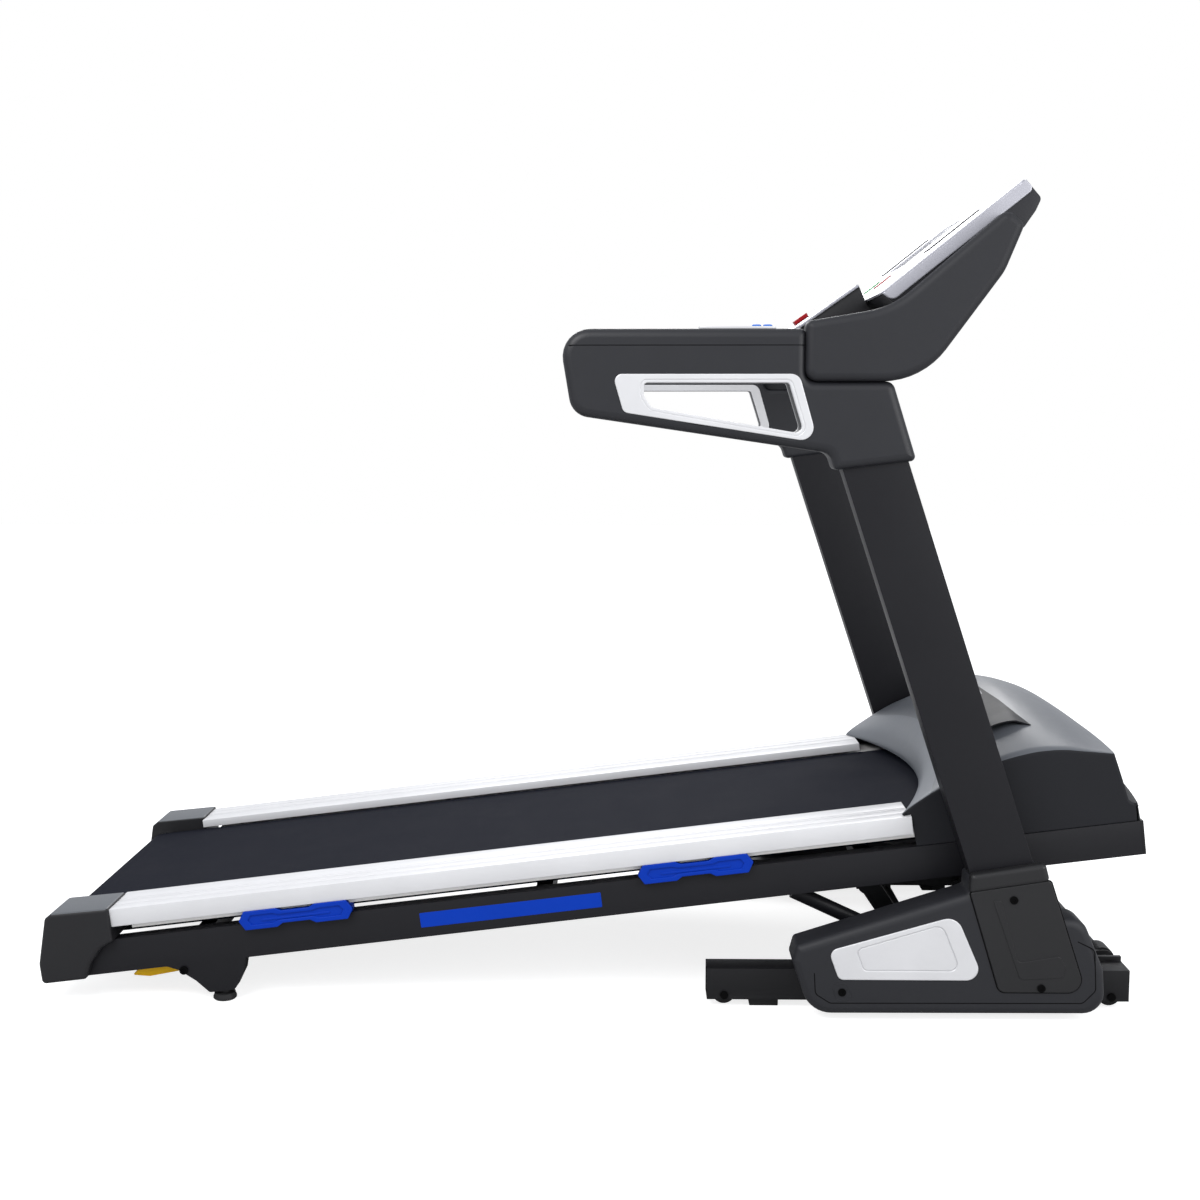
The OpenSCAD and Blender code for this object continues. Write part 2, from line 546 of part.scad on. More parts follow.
// top of the hood along the middle, and its arch across
hood_line = [[1209, 192, 2], [1275, 232, 30], [1400, 326, 30], [1437, 339, 20], [1512, 320, 20],
  [1583, 266, 20], [1653, 195, 14], [1668, 164, 8], [1640, 132, 8], [1209, 132, 0]];
function arch(y, t) = 340 - t - 70 * (y / 350) * (y / 350);
module hood_body(t) intersection() {
  side(t > 0 ? inset(hood_line, t) : hood_line, -356, 356);
  translate([1190, 0, 0]) rotate([90, 0, 90]) linear_extrude(500) polygon(concat(
    [for (k = [-12:12]) [k / 12 * (351 - t), arch(k / 12 * 351, t)]],
    [[351 - t, t > 0 ? 120 : 132], [-351 + t, t > 0 ? 120 : 132]]));
  linear_extrude(400) polygon(concat(
    [for (k = [-12:12]) [1668 - t - 48 * pow(k / 12, 2), k / 12 * 356]],
    [for (k = [12:-1:-12]) [1290 + (t > 0 ? 6 : 0) - 84 * pow(k / 12, 2), k / 12 * 356]]));
}
module motor_hood() color([0.24, 0.24, 0.26]) on_deck() difference() {
  hood_body(0);
  hood_body(shell_t);
  box([1180, rail_x1 + 1], [-rail_half - 1, rail_half + 1], [100, rail_top + 0.5]);
  box([1215, 1612], [-348, 348], [100, tube_top + 8]);
  box([1180, 1300], [-rail_half + 11, rail_half - 11], [100, board_top + 5]);
}
module power_switch() color([0.7, 0.05, 0.05]) on_deck() difference() {
  box([1607, 1621], [-230, -206], [tube_bot + 20, tube_bot + 40]);
  switch_pin(1.5 + run_gap);
}
module rear_feet() color([0.1, 0.1, 0.1]) on_deck() both() intersection() {
  rod_y(0, foot_r, foot_r, tube_in, tube_out);
  side([[-22, -1, 0], [22, -1, 0], [18, 18, 0], [-18, 18, 0]], tube_in, tube_out);
}
module release_lever() color([0.95, 0.75, 0.05]) on_deck() difference() {
  side([[-163, 55, 2], [-132, 49, 4], [-60, 54, 4], [-54, 66, 4], [-80, 71, 4], [-150, 64, 4]],
    -tube_in + 2, -tube_in + 18);
  rod_y(lever[0], lever[1], 4 + run_gap, -tube_in, -tube_in + 30);
}

base_frame();
rest_pads();
mast_right();
mast_left();
base_cover_right();
base_cover_left();
cover_inserts();
boot_plates();
cover_screws();
wheel_rear_right();
wheel_rear_left();
wheel_front_right();
wheel_front_left();
wheel_bolts();
arm_shell_right();
arm_shell_left();
arm_trims();
button_pods();
speed_button_up();
speed_button_down();
incline_button_up();
incline_button_down();
console_wing_right();
console_wing_left();
console_frame();
console_shell();
console_bezel();
console_screen();
start_key();
stop_key();
speed_rocker();
incline_rocker();
lower_panel();
safety_key();
fold_yoke();
lift_frame();
cylinder_pin();
cylinder_barrel();
cylinder_rod();
incline_motor();
incline_screw();
deck_frame();
running_board();
running_belt();
side_rail_right();
side_rail_left();
rear_cap_right();
rear_cap_left();
deck_cushions();
front_roller();
rear_roller();
roller_bolts();
drive_motor();
motor_rotor();
drive_belt();
motor_pan();
motor_hood();
power_switch();
rear_feet();
release_lever();
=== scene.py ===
import math
import bpy
import bmesh
from mathutils import Matrix, Vector
from mathutils.geometry import delaunay_2d_cdt


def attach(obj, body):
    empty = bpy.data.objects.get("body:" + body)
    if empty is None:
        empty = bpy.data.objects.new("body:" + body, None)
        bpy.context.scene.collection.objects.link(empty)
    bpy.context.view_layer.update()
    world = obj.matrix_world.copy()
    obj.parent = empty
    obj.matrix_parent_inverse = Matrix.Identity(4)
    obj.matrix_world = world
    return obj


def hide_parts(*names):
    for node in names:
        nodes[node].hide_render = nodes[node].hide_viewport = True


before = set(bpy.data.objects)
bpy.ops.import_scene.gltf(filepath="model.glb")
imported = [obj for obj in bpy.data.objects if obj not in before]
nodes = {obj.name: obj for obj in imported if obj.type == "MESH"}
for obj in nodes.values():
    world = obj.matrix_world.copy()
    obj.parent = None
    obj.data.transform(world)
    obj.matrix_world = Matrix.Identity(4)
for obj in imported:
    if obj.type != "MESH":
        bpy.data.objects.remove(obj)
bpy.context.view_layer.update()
print("frame loaded:", len(nodes), "nodes")

# each local frame is in millimetres and lands in metres
places = {
    "shift": 45.5,          # mm, the base sits this far forward
    "deckTilt": 7.05,       # degrees, nose up
    "deckFoot": (-704.0, 60.0),
    "faceAt": (416.0, 1214.0), "faceSlope": 38.5,
}


def localFrame(x, z, slope):
    turn = Matrix.Rotation(-math.radians(slope), 4, "Y")
    return Matrix.Scale(0.001, 4) @ Matrix.Translation((x + places["shift"], 0, z)) @ turn


deckRise = places["deckFoot"][1] * (1 - math.cos(math.radians(places["deckTilt"])))
onBase = localFrame(0, 0, 0)
onDeck = localFrame(places["deckFoot"][0], deckRise, places["deckTilt"])
onFace = localFrame(*places["faceAt"], places["faceSlope"])

# shader groups that the finishes share


def newGroup(name, inputs, outputs):
    tree = bpy.data.node_groups.new(name, "ShaderNodeTree")
    for label, value in inputs:
        kind = "NodeSocketVector" if value is None else "NodeSocketFloat"
        socket = tree.interface.new_socket(label, in_out="INPUT", socket_type=kind)
        if value is not None:
            socket.default_value = value
    for label, kind in outputs:
        tree.interface.new_socket(label, in_out="OUTPUT", socket_type=kind)
    return tree, tree.nodes.new("NodeGroupInput"), tree.nodes.new("NodeGroupOutput")


def mathNode(tree, kind, a, b=None):
    node = tree.nodes.new("ShaderNodeMath")
    node.operation = kind
    for slot, value in ((0, a), (1, b)):
        if value is None:
            continue
        if isinstance(value, (int, float)):
            node.inputs[slot].default_value = value
        else:
            tree.links.new(value, node.inputs[slot])
    return node.outputs[0]


def noiseNode(tree, vector, scale, detail=2.0, rough=0.5):
    node = tree.nodes.new("ShaderNodeTexNoise")
    node.inputs["Detail"].default_value = detail
    node.inputs["Roughness"].default_value = rough
    tree.links.new(vector, node.inputs["Vector"])
    if isinstance(scale, (int, float)):
        node.inputs["Scale"].default_value = scale
    else:
        tree.links.new(scale, node.inputs["Scale"])
    return node.outputs["Fac"]


def makeGrain():
    # moulded plastic grain: small pits with a little wander in their depth
    tree, gin, gout = newGroup("mouldedGrain",
                               [("Vector", None), ("Scale", 900.0), ("Depth", 1.0)],
                               [("Height", "NodeSocketFloat"), ("Mask", "NodeSocketFloat")])
    cells = tree.nodes.new("ShaderNodeTexVoronoi")
    tree.links.new(gin.outputs["Vector"], cells.inputs["Vector"])
    tree.links.new(gin.outputs["Scale"], cells.inputs["Scale"])
    fine = noiseNode(tree, gin.outputs["Vector"], gin.outputs["Scale"], 3.0)
    mixed = mathNode(tree, "MULTIPLY", cells.outputs["Distance"], fine)
    tree.links.new(mathNode(tree, "MULTIPLY", mixed, gin.outputs["Depth"]), gout.inputs["Height"])
    tree.links.new(mixed, gout.inputs["Mask"])
    return tree


def makeDrift():
    # slow change of tone and of gloss over a surface, with faint handling marks
    tree, gin, gout = newGroup("surfaceDrift",
                               [("Vector", None), ("Scale", 9.0), ("Tone", 0.10), ("Gloss", 0.06),
                                ("Base Roughness", 0.45)],
                               [("Tone", "NodeSocketFloat"), ("Roughness", "NodeSocketFloat")])
    slow = noiseNode(tree, gin.outputs["Vector"], gin.outputs["Scale"], 4.0, 0.6)
    centred = mathNode(tree, "SUBTRACT", slow, 0.5)
    tone = mathNode(tree, "MULTIPLY", centred, gin.outputs["Tone"])
    tree.links.new(mathNode(tree, "ADD", tone, 1.0), gout.inputs["Tone"])
    finer = mathNode(tree, "MULTIPLY", gin.outputs["Scale"], 7.0)
    marks = noiseNode(tree, gin.outputs["Vector"], finer, 6.0, 0.7)
    gloss = mathNode(tree, "MULTIPLY", mathNode(tree, "SUBTRACT", marks, 0.5), gin.outputs["Gloss"])
    rough = mathNode(tree, "ADD", gloss, gin.outputs["Base Roughness"])
    tree.links.new(mathNode(tree, "ADD", rough, tone), gout.inputs["Roughness"])
    return tree


def makeBrushed():
    # drawn metal lines that run along local X
    tree, gin, gout = newGroup("drawnLines",
                               [("Vector", None), ("Scale", 500.0), ("Stretch", 0.02)],
                               [("Height", "NodeSocketFloat")])
    split = tree.nodes.new("ShaderNodeSeparateXYZ")
    join = tree.nodes.new("ShaderNodeCombineXYZ")
    tree.links.new(gin.outputs["Vector"], split.inputs[0])
    tree.links.new(mathNode(tree, "MULTIPLY", split.outputs["X"], gin.outputs["Stretch"]), join.inputs["X"])
    tree.links.new(split.outputs["Y"], join.inputs["Y"])
    tree.links.new(split.outputs["Z"], join.inputs["Z"])
    lines = noiseNode(tree, join.outputs[0], gin.outputs["Scale"], 4.0, 0.6)
    tree.links.new(lines, gout.inputs["Height"])
    return tree


def makeWeave():
    # plain weave of the belt fabric under its rubber skin
    tree, gin, gout = newGroup("beltWeave", [("Vector", None), ("Pitch", 700.0)],
                               [("Height", "NodeSocketFloat")])
    split = tree.nodes.new("ShaderNodeSeparateXYZ")
    tree.links.new(gin.outputs["Vector"], split.inputs[0])
    waves = []
    for axis in ("X", "Y"):
        phase = mathNode(tree, "MULTIPLY", split.outputs[axis], gin.outputs["Pitch"])
        waves.append(mathNode(tree, "SINE", mathNode(tree, "MULTIPLY", phase, math.tau)))
    crossed = mathNode(tree, "MULTIPLY", waves[0], waves[1])
    halved = mathNode(tree, "MULTIPLY", crossed, 0.5)
    tree.links.new(mathNode(tree, "ADD", halved, 0.5), gout.inputs["Height"])
    return tree


grainGroup = makeGrain()
driftGroup = makeDrift()
brushedGroup = makeBrushed()
weaveGroup = makeWeave()

# the finishes: color and rough as they render, relief at its own scale, bump in metres
finishes = {
    "satinBlackCoat": dict(color=(0.0085, 0.0085, 0.0105), rough=0.46, scale=1400, bump=0.00010,
                           shine=0.22),
    "frameBlackCoat": dict(color=(0.0075, 0.0075, 0.0085), rough=0.48, scale=1400, bump=0.00010,
                           shine=0.25),
    "grainBlackPlastic": dict(color=(0.0125, 0.0130, 0.0160), rough=0.55, scale=1100, bump=0.00024,
                              shine=0.35),
    "armBlackPlastic": dict(color=(0.0115, 0.0120, 0.0150), rough=0.48, scale=1500, bump=0.00012,
                            shine=0.4),
    "satinBlackPlastic": dict(color=(0.0120, 0.0120, 0.0130), rough=0.40, scale=1600, bump=0.00006,
                              shine=0.35),
    "plainBlackPlastic": dict(color=(0.0060, 0.0060, 0.0070), rough=0.42, scale=1800, bump=0.00006),
    # near-black strips laid over grooves and gaps: painted shade where the real parts only have a recess
    "seamPaintedShade": dict(color=(0.0020, 0.0020, 0.0022), rough=0.70, scale=1200, bump=0.00004, shine=0.1),
    # hood top: satin skin whose light grey tone is partly its own and partly painted reflection of the bright
    # room
    "hoodTopSatinPaintedSheen": dict(color=(0.085, 0.092, 0.104), rough=0.40, scale=2200, bump=0.00005),
    # hood rear band: drawn lighter still, a painted highlight where the skin turns down
    "hoodBandPaintedHighlight": dict(color=(0.120, 0.130, 0.145), rough=0.38, scale=2200, bump=0.00004),
    "hoodSideBlack": dict(color=(0.0110, 0.0115, 0.0140), rough=0.58, scale=1000, bump=0.00025, shine=0.18),
    "badgeBlack": dict(color=(0.0090, 0.0090, 0.0110), rough=0.46, scale=900, bump=0.00004, shine=0.12),
    "capGraphite": dict(color=(0.0105, 0.0105, 0.0120), rough=0.50, scale=1200, bump=0.00015, shine=0.3),
    # the cap's top: the same graphite plastic as its sides, drawn much lighter as a painted reflection of the
    # bright room on the up-facing faces
    "capTopPaintedSheen": dict(color=(0.078, 0.085, 0.094), rough=0.46, scale=1200, bump=0.00010),
    "paleSilver": dict(color=(0.64, 0.64, 0.65), rough=0.34, metal=0.25, scale=2600, bump=0.00003),
    "bezelSilver": dict(color=(0.42, 0.42, 0.46), rough=0.32, metal=0.30, scale=2600, bump=0.00003),
    "railWhiteAlu": dict(color=(0.60, 0.60, 0.61), rough=0.42, metal=0.05, relief="drawn", scale=900,
                         bump=0.00004),
    "boardWhite": dict(color=(0.72, 0.71, 0.69), rough=0.55, scale=500, bump=0.00008),
    "royalBlue": dict(color=(0.0004, 0.030, 0.34), rough=0.42, scale=1500, bump=0.00006, shine=0.12),
    "skyBlue": dict(color=(0.004, 0.120, 0.50), rough=0.34, scale=1500, bump=0.00005, shine=0.2),
    "labelBlue": dict(color=(0.0004, 0.034, 0.36), rough=0.40, scale=2500, bump=0.00002, shine=0.12),
    "beltRubber": dict(color=(0.0085, 0.0095, 0.0150), rough=0.74, relief="weave", scale=420, bump=0.00030,
                       shine=0.04),
    "driveRubber": dict(color=(0.012, 0.012, 0.012), rough=0.60, scale=900, bump=0.0001),
    "wheelRubber": dict(color=(0.0080, 0.0080, 0.0085), rough=0.58, scale=900, bump=0.00015, shine=0.35),
    "turnedSteel": dict(color=(0.52, 0.53, 0.55), rough=0.30, metal=1.0, relief="drawn", scale=700,
                        bump=0.00003),
    "blackBolt": dict(color=(0.0012, 0.0012, 0.0013), rough=0.60, scale=1500, bump=0.00003, shine=0.06),
    "screenBlack": dict(color=(0.004, 0.005, 0.007), rough=0.08, scale=60, bump=0.0, coat=0.6),
    "keyGreen": dict(color=(0.02, 0.30, 0.07), rough=0.35, scale=1500, bump=0.00005),
    "keyRed": dict(color=(0.30, 0.004, 0.008), rough=0.40, scale=1500, bump=0.00004, shine=0.2),
    "leverYellow": dict(color=(0.80, 0.46, 0.006), rough=0.42, scale=1200, bump=0.00006, shine=0.2),
    "switchRed": dict(color=(0.46, 0.01, 0.01), rough=0.30, scale=1500, bump=0.00004),
}


def makeFinish(name, color, rough, metal=0.0, relief="grain", scale=1000, bump=0.0001, tone=0.16,
               gloss=0.08, coat=0.0, shine=0.5):
    mat = bpy.data.materials.new(name)
    mat.use_nodes = True
    tree = mat.node_tree
    shader = tree.nodes["Principled BSDF"]
    coords = tree.nodes.new("ShaderNodeTexCoord")
    place = tree.nodes.new("ShaderNodeMapping")
    tree.links.new(coords.outputs["Object"], place.inputs["Vector"])
    if relief in ("drawn", "weave"):   # follow the slope of the deck
        place.inputs["Rotation"].default_value[1] = math.radians(places["deckTilt"])
    drift = tree.nodes.new("ShaderNodeGroup")
    drift.node_tree = driftGroup
    drift.inputs["Tone"].default_value = tone
    drift.inputs["Gloss"].default_value = gloss
    drift.inputs["Base Roughness"].default_value = rough
    tree.links.new(place.outputs[0], drift.inputs["Vector"])
    tint = tree.nodes.new("ShaderNodeMix")
    tint.data_type = "RGBA"
    tint.blend_type = "MULTIPLY"
    tint.inputs[0].default_value = 1.0
    tint.inputs[6].default_value = (*color, 1)
    tree.links.new(drift.outputs["Tone"], tint.inputs[7])
    tree.links.new(tint.outputs[2], shader.inputs["Base Color"])
    tree.links.new(drift.outputs["Roughness"], shader.inputs["Roughness"])
    shader.inputs["Metallic"].default_value = metal
    shader.inputs["Specular IOR Level"].default_value = shine
    if coat:
        shader.inputs["Coat Weight"].default_value = coat
        shader.inputs["Coat Roughness"].default_value = 0.05
    if bump:
        group = tree.nodes.new("ShaderNodeGroup")
        group.node_tree = {"grain": grainGroup, "drawn": brushedGroup, "weave": weaveGroup}[relief]
        tree.links.new(place.outputs[0], group.inputs["Vector"])
        group.inputs["Pitch" if relief == "weave" else "Scale"].default_value = scale
        raised = tree.nodes.new("ShaderNodeBump")
        raised.inputs["Strength"].default_value = 0.6
        raised.inputs["Distance"].default_value = bump
        tree.links.new(group.outputs["Height"], raised.inputs["Height"])
        tree.links.new(raised.outputs[0], shader.inputs["Normal"])
    return mat


materials = {name: makeFinish(name, **values) for name, values in finishes.items()}
print("materials made:", len(materials))

# mesh helpers


def linkPiece(name, mesh, body, finish, replaced=(), smoothAngle=32):
    obj = bpy.data.objects.new(name, mesh)
    bpy.context.scene.collection.objects.link(obj)
    for one in (finish if isinstance(finish, (list, tuple)) else [finish]):
        mesh.materials.append(materials[one])
    if smoothAngle:
        mesh.shade_smooth()
        mesh.set_sharp_from_angle(angle=math.radians(smoothAngle))
    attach(obj, body)
    if replaced:
        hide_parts(*replaced)
    return obj


def meshFromBmesh(bm, name, place=None, recalc=True):
    if place is not None:
        bmesh.ops.transform(bm, matrix=place, verts=bm.verts)
    if recalc:
        bmesh.ops.recalc_face_normals(bm, faces=bm.faces)
    mesh = bpy.data.meshes.new(name)
    bm.to_mesh(mesh)
    bm.free()
    return mesh


def roundedLoop(corners, steps=6):
    # corners are (x, z, radius); returns the outline with its arcs
    out = []
    count = len(corners)
    for i, corner in enumerate(corners):
        b = Vector(corner[:2])
        radius = corner[2]
        u = (Vector(corners[i - 1][:2]) - b)
        v = (Vector(corners[(i + 1) % count][:2]) - b)
        reach = min(u.length, v.length) * 0.495
        u.normalize()
        v.normalize()
        half = math.acos(max(-1, min(1, u.dot(v)))) / 2
        if half > math.pi / 2 - 0.01:
            out.append(b)
            continue
        cut = min(radius / math.tan(half), reach)
        radius = cut * math.tan(half)
        centre = b + (u + v).normalized() * radius / math.sin(half)
        start, end = b + u * cut - centre, b + v * cut - centre
        a0 = math.atan2(start.y, start.x)
        sweep = math.atan2(end.y, end.x) - a0
        sweep = (sweep + math.pi) % math.tau - math.pi
        for k in range(steps + 1):
            a = a0 + sweep * k / steps
            out.append(centre + radius * Vector((math.cos(a), math.sin(a))))
    return out


def insetCorners(corners, depth):
    # the same outline moved inward, or outward where depth is negative
    count = len(corners)
    pairs = [(corners[i], corners[(i + 1) % count]) for i in range(count)]
    sign = 1 if sum(a[0] * b[1] - b[0] * a[1] for a, b in pairs) > 0 else -1
    out = []
    for i, corner in enumerate(corners):
        a, b, c = (Vector(corners[j % count][:2]) for j in (i - 1, i, i + 1))
        u, v = (b - a).normalized(), (c - b).normalized()
        nu, nv = Vector((-u.y, u.x)) * sign, Vector((-v.y, v.x)) * sign
        moved = b + (nu + nv) * (depth / (1 + nu.dot(nv)))
        convex = sign * (u.x * v.y - u.y * v.x) > 0
        out.append((moved.x, moved.y, max(corner[2] + (-depth if convex else depth), 0.3)))
    return out


def insideLoop(point, loop):
    inside = False
    for a, b in zip(loop, loop[1:] + loop[:1]):
        if (a[1] > point[1]) != (b[1] > point[1]):
            if point[0] < a[0] + (b[0] - a[0]) * (point[1] - a[1]) / (b[1] - a[1]):
                inside = not inside
    return inside


def capFlat(bm, rows, turned):
    # closes the space between the first row of vertices and the rows of its holes
    points, edges, owner = [], [], []
    flat = [[(v.co.x, v.co.z) for v in row] for row in rows]
    for row, loop in zip(rows, flat):
        start = len(points)
        points += [Vector(p) for p in loop]
        owner += row
        edges += [(start + i, start + (i + 1) % len(loop)) for i in range(len(loop))]
    coords, _, faces, origin, _, _ = delaunay_2d_cdt(points, edges, [], 1, 1e-4)
    w = rows[0][0].co.y
    verts = [owner[o[0]] if o else bm.verts.new((c.x, w, c.y)) for c, o in zip(coords, origin)]
    for face in faces:
        middle = sum((coords[k] for k in face), Vector((0, 0))) / len(face)
        if not insideLoop(middle, flat[0]) or any(insideLoop(middle, hole) for hole in flat[1:]):
            continue
        ring = [verts[k] for k in face]
        if len(set(ring)) > 2 and bm.faces.get(ring) is None:
            bm.faces.new(ring[::-1] if turned else ring)


def ringPlate(loops, w0, w1, edge0=1.0, edge1=1.0, steps=4, smooth=8):
    # flat plate across Y from w0 to w1 with rounded rims; loops after the first are holes
    rings = [(w0, edge0 + 0.8)]
    for k in range(steps + 1):
        a = math.pi / 2 * k / steps
        rings.append((w0 + edge0 * (1 - math.cos(a)), edge0 * (1 - math.sin(a))))
    for k in range(steps + 1):
        a = math.pi / 2 * k / steps
        rings.append((w1 - edge1 * (1 - math.sin(a)), edge1 * (1 - math.cos(a))))
    rings.append((w1, edge1 + 0.8))
    bm = bmesh.new()
    caps = ([], [])
    for number, loop in enumerate(loops):
        grid = []
        for w, depth in rings:
            points = roundedLoop(insetCorners(loop, -depth if number else depth), smooth)
            grid.append([bm.verts.new((p.x, w, p.y)) for p in points])
        for lower, upper in zip(grid, grid[1:]):
            for i in range(len(lower)):
                j = (i + 1) % len(lower)
                bm.faces.new((lower[i], lower[j], upper[j], upper[i]))
        for cap, row in zip(caps, (grid[0], grid[-1])):
            cap.append(row)
    for turned, cap in enumerate(caps):
        capFlat(bm, cap, bool(turned))
    bmesh.ops.remove_doubles(bm, verts=bm.verts, dist=0.005)
    bmesh.ops.recalc_face_normals(bm, faces=bm.faces)
    return bm


def seamStrip(path, width, bend):
    # closed outline of a thin line that follows an open path
    sides = ([], [])
    for i, point in enumerate(path):
        b = Vector(point)
        u = (b - Vector(path[i - 1])).normalized() if i else None
        v = (Vector(path[i + 1]) - b).normalized() if i + 1 < len(path) else None
        u, v = u or v, v or u
        nu, nv = Vector((-u.y, u.x)), Vector((-v.y, v.x))
        reach = (nu + nv) / (1 + nu.dot(nv)) * width / 2
        for side, sign in zip(sides, (1, -1)):
            moved = b + reach * sign
            side.append((moved.x, moved.y, bend if 0 < i < len(path) - 1 else 0.1))
    return sides[0] + sides[1][::-1]


def joinBmesh(target, extra, mirrorY=False, index=0):
    # adds extra to target, turned over in Y where asked, and frees it
    if mirrorY:
        bmesh.ops.transform(extra, matrix=Matrix.Scale(-1, 4, (0, 1, 0)), verts=extra.verts)
        bmesh.ops.reverse_faces(extra, faces=extra.faces)
    for face in extra.faces:
        face.material_index = index
    mesh = bpy.data.meshes.new("part")
    extra.to_mesh(mesh)
    extra.free()
    target.from_mesh(mesh)
    bpy.data.meshes.remove(mesh)


def plates(items, sides=(-1,)):
    # items are (loops, w0, w1, edge0, edge1, finish index) on the left; sides says where they stand
    bm = bmesh.new()
    for side in sides:
        for loops, w0, w1, edge0, edge1, *rest in items:
            joinBmesh(bm, ringPlate(loops, w0, w1, edge0, edge1), side < 0, rest[0] if rest else 0)
    return bm


upright = Matrix(((1, 0, 0, 0), (0, 0, 1, 0), (0, 1, 0, 0), (0, 0, 0, 1)))   # plate lies flat instead


def softEdged(node, body, finish, width=1.5, segments=2, angle=28):
    # the CAD solid with its loose triangles merged and its corners rounded
    bm = bmesh.new()
    bm.from_mesh(nodes[node].data)
    bmesh.ops.remove_doubles(bm, verts=bm.verts, dist=2e-5)
    bmesh.ops.dissolve_limit(bm, angle_limit=math.radians(1.0), verts=bm.verts, edges=bm.edges)
    if width:
        limit = math.radians(angle)
        hard = [e for e in bm.edges if len(e.link_faces) == 2 and e.calc_face_angle(0) > limit]
        bmesh.ops.bevel(bm, geom=hard, offset=width / 1000, offset_type="OFFSET", segments=segments,
                        profile=0.5, affect="EDGES", clamp_overlap=True)
    bmesh.ops.triangulate(bm, faces=[f for f in bm.faces if len(f.verts) > 4])
    mesh = meshFromBmesh(bm, node, recalc=False)
    mesh.materials.clear()
    return linkPiece(node + "_soft", mesh, body, finish, replaced=(node,), smoothAngle=40)


def finishNode(node, finish):
    data = nodes[node].data
    data.materials.clear()
    data.materials.append(materials[finish])


# screw heads, repeated by one node tree


def makeHeadTree():
    # a round head with a recess stands on every point of the incoming mesh
    tree = bpy.data.node_groups.new("screwHeads", "GeometryNodeTree")
    face = tree.interface
    face.new_socket("Geometry", in_out="INPUT", socket_type="NodeSocketGeometry")
    for label, value in (("Head Radius", 0.006), ("Head Height", 0.0014), ("Recess Share", 0.5),
                         ("Recess Depth", 0.0010), ("Turn About X", 1.5708)):
        face.new_socket(label, in_out="INPUT", socket_type="NodeSocketFloat").default_value = value
    face.new_socket("Sides", in_out="INPUT", socket_type="NodeSocketInt").default_value = 28
    face.new_socket("Seed", in_out="INPUT", socket_type="NodeSocketInt").default_value = 3
    face.new_socket("Material", in_out="INPUT", socket_type="NodeSocketMaterial")
    face.new_socket("Geometry", in_out="OUTPUT", socket_type="NodeSocketGeometry")
    make, link = tree.nodes.new, tree.links.new
    gin, gout = make("NodeGroupInput"), make("NodeGroupOutput")
    disc = make("GeometryNodeMeshCircle")
    disc.fill_type = "NGON"
    link(gin.outputs["Sides"], disc.inputs["Vertices"])
    link(gin.outputs["Head Radius"], disc.inputs["Radius"])
    rise = make("GeometryNodeExtrudeMesh")
    link(disc.outputs["Mesh"], rise.inputs["Mesh"])
    link(gin.outputs["Head Height"], rise.inputs["Offset Scale"])
    crown = make("GeometryNodeExtrudeMesh")
    crown.inputs["Offset Scale"].default_value = 0.0
    link(rise.outputs["Mesh"], crown.inputs["Mesh"])
    link(rise.outputs["Top"], crown.inputs["Selection"])
    narrow = make("GeometryNodeScaleElements")
    link(crown.outputs["Mesh"], narrow.inputs["Geometry"])
    link(crown.outputs["Top"], narrow.inputs["Selection"])
    link(gin.outputs["Recess Share"], narrow.inputs["Scale"])
    sink = make("GeometryNodeExtrudeMesh")
    link(narrow.outputs["Geometry"], sink.inputs["Mesh"])
    link(crown.outputs["Top"], sink.inputs["Selection"])
    link(mathNode(tree, "MULTIPLY", gin.outputs["Recess Depth"], -1.0), sink.inputs["Offset Scale"])
    lean = make("ShaderNodeCombineXYZ")
    link(gin.outputs["Turn About X"], lean.inputs["X"])
    leanTurn = make("FunctionNodeEulerToRotation")
    link(lean.outputs[0], leanTurn.inputs[0])
    chance = make("FunctionNodeRandomValue")
    chance.data_type = "FLOAT"
    chance.inputs[3].default_value = math.tau
    link(gin.outputs["Seed"], chance.inputs["Seed"])
    spin = make("ShaderNodeCombineXYZ")
    link(chance.outputs[1], spin.inputs["Z"])
    spinTurn = make("FunctionNodeEulerToRotation")
    link(spin.outputs[0], spinTurn.inputs[0])
    both = make("FunctionNodeRotateRotation")
    both.rotation_space = "LOCAL"
    link(leanTurn.outputs[0], both.inputs[0])
    link(spinTurn.outputs[0], both.inputs[1])
    stand = make("GeometryNodeInstanceOnPoints")
    link(gin.outputs["Geometry"], stand.inputs["Points"])
    link(sink.outputs["Mesh"], stand.inputs["Instance"])
    link(both.outputs[0], stand.inputs["Rotation"])
    real = make("GeometryNodeRealizeInstances")
    link(stand.outputs["Instances"], real.inputs["Geometry"])
    paint = make("GeometryNodeSetMaterial")
    link(real.outputs[0], paint.inputs["Geometry"])
    link(gin.outputs["Material"], paint.inputs["Material"])
    link(paint.outputs[0], gout.inputs["Geometry"])
    return tree


headTree = makeHeadTree()


def screwHeads(name, groups, place, body, finish, replaced=()):
    # groups are (points in mm, values for the named inputs); one plain mesh comes out
    target = bmesh.new()
    for points, values in groups:
        mesh = bpy.data.meshes.new(name)
        mesh.from_pydata([place @ Vector(p) for p in points], [], [])
        holder = bpy.data.objects.new(name, mesh)
        bpy.context.scene.collection.objects.link(holder)
        live = holder.modifiers.new("heads", "NODES")
        live.node_group = headTree
        sockets = {item.name: item.identifier for item in headTree.interface.items_tree
                   if item.in_out == "INPUT" and item.name != "Geometry"}
        for label, value in {**values, "Material": materials[finish]}.items():
            live[sockets[label]] = value
        graph = bpy.context.evaluated_depsgraph_get()
        baked = bpy.data.meshes.new_from_object(holder.evaluated_get(graph))
        holder.modifiers.clear()
        bpy.data.objects.remove(holder)
        target.from_mesh(baked)
        bpy.data.meshes.remove(baked)
    bmesh.ops.remove_doubles(target, verts=target.verts, dist=1e-5)
    mesh = meshFromBmesh(target, name)
    mesh.materials.clear()
    return linkPiece(name, mesh, body, finish, replaced)


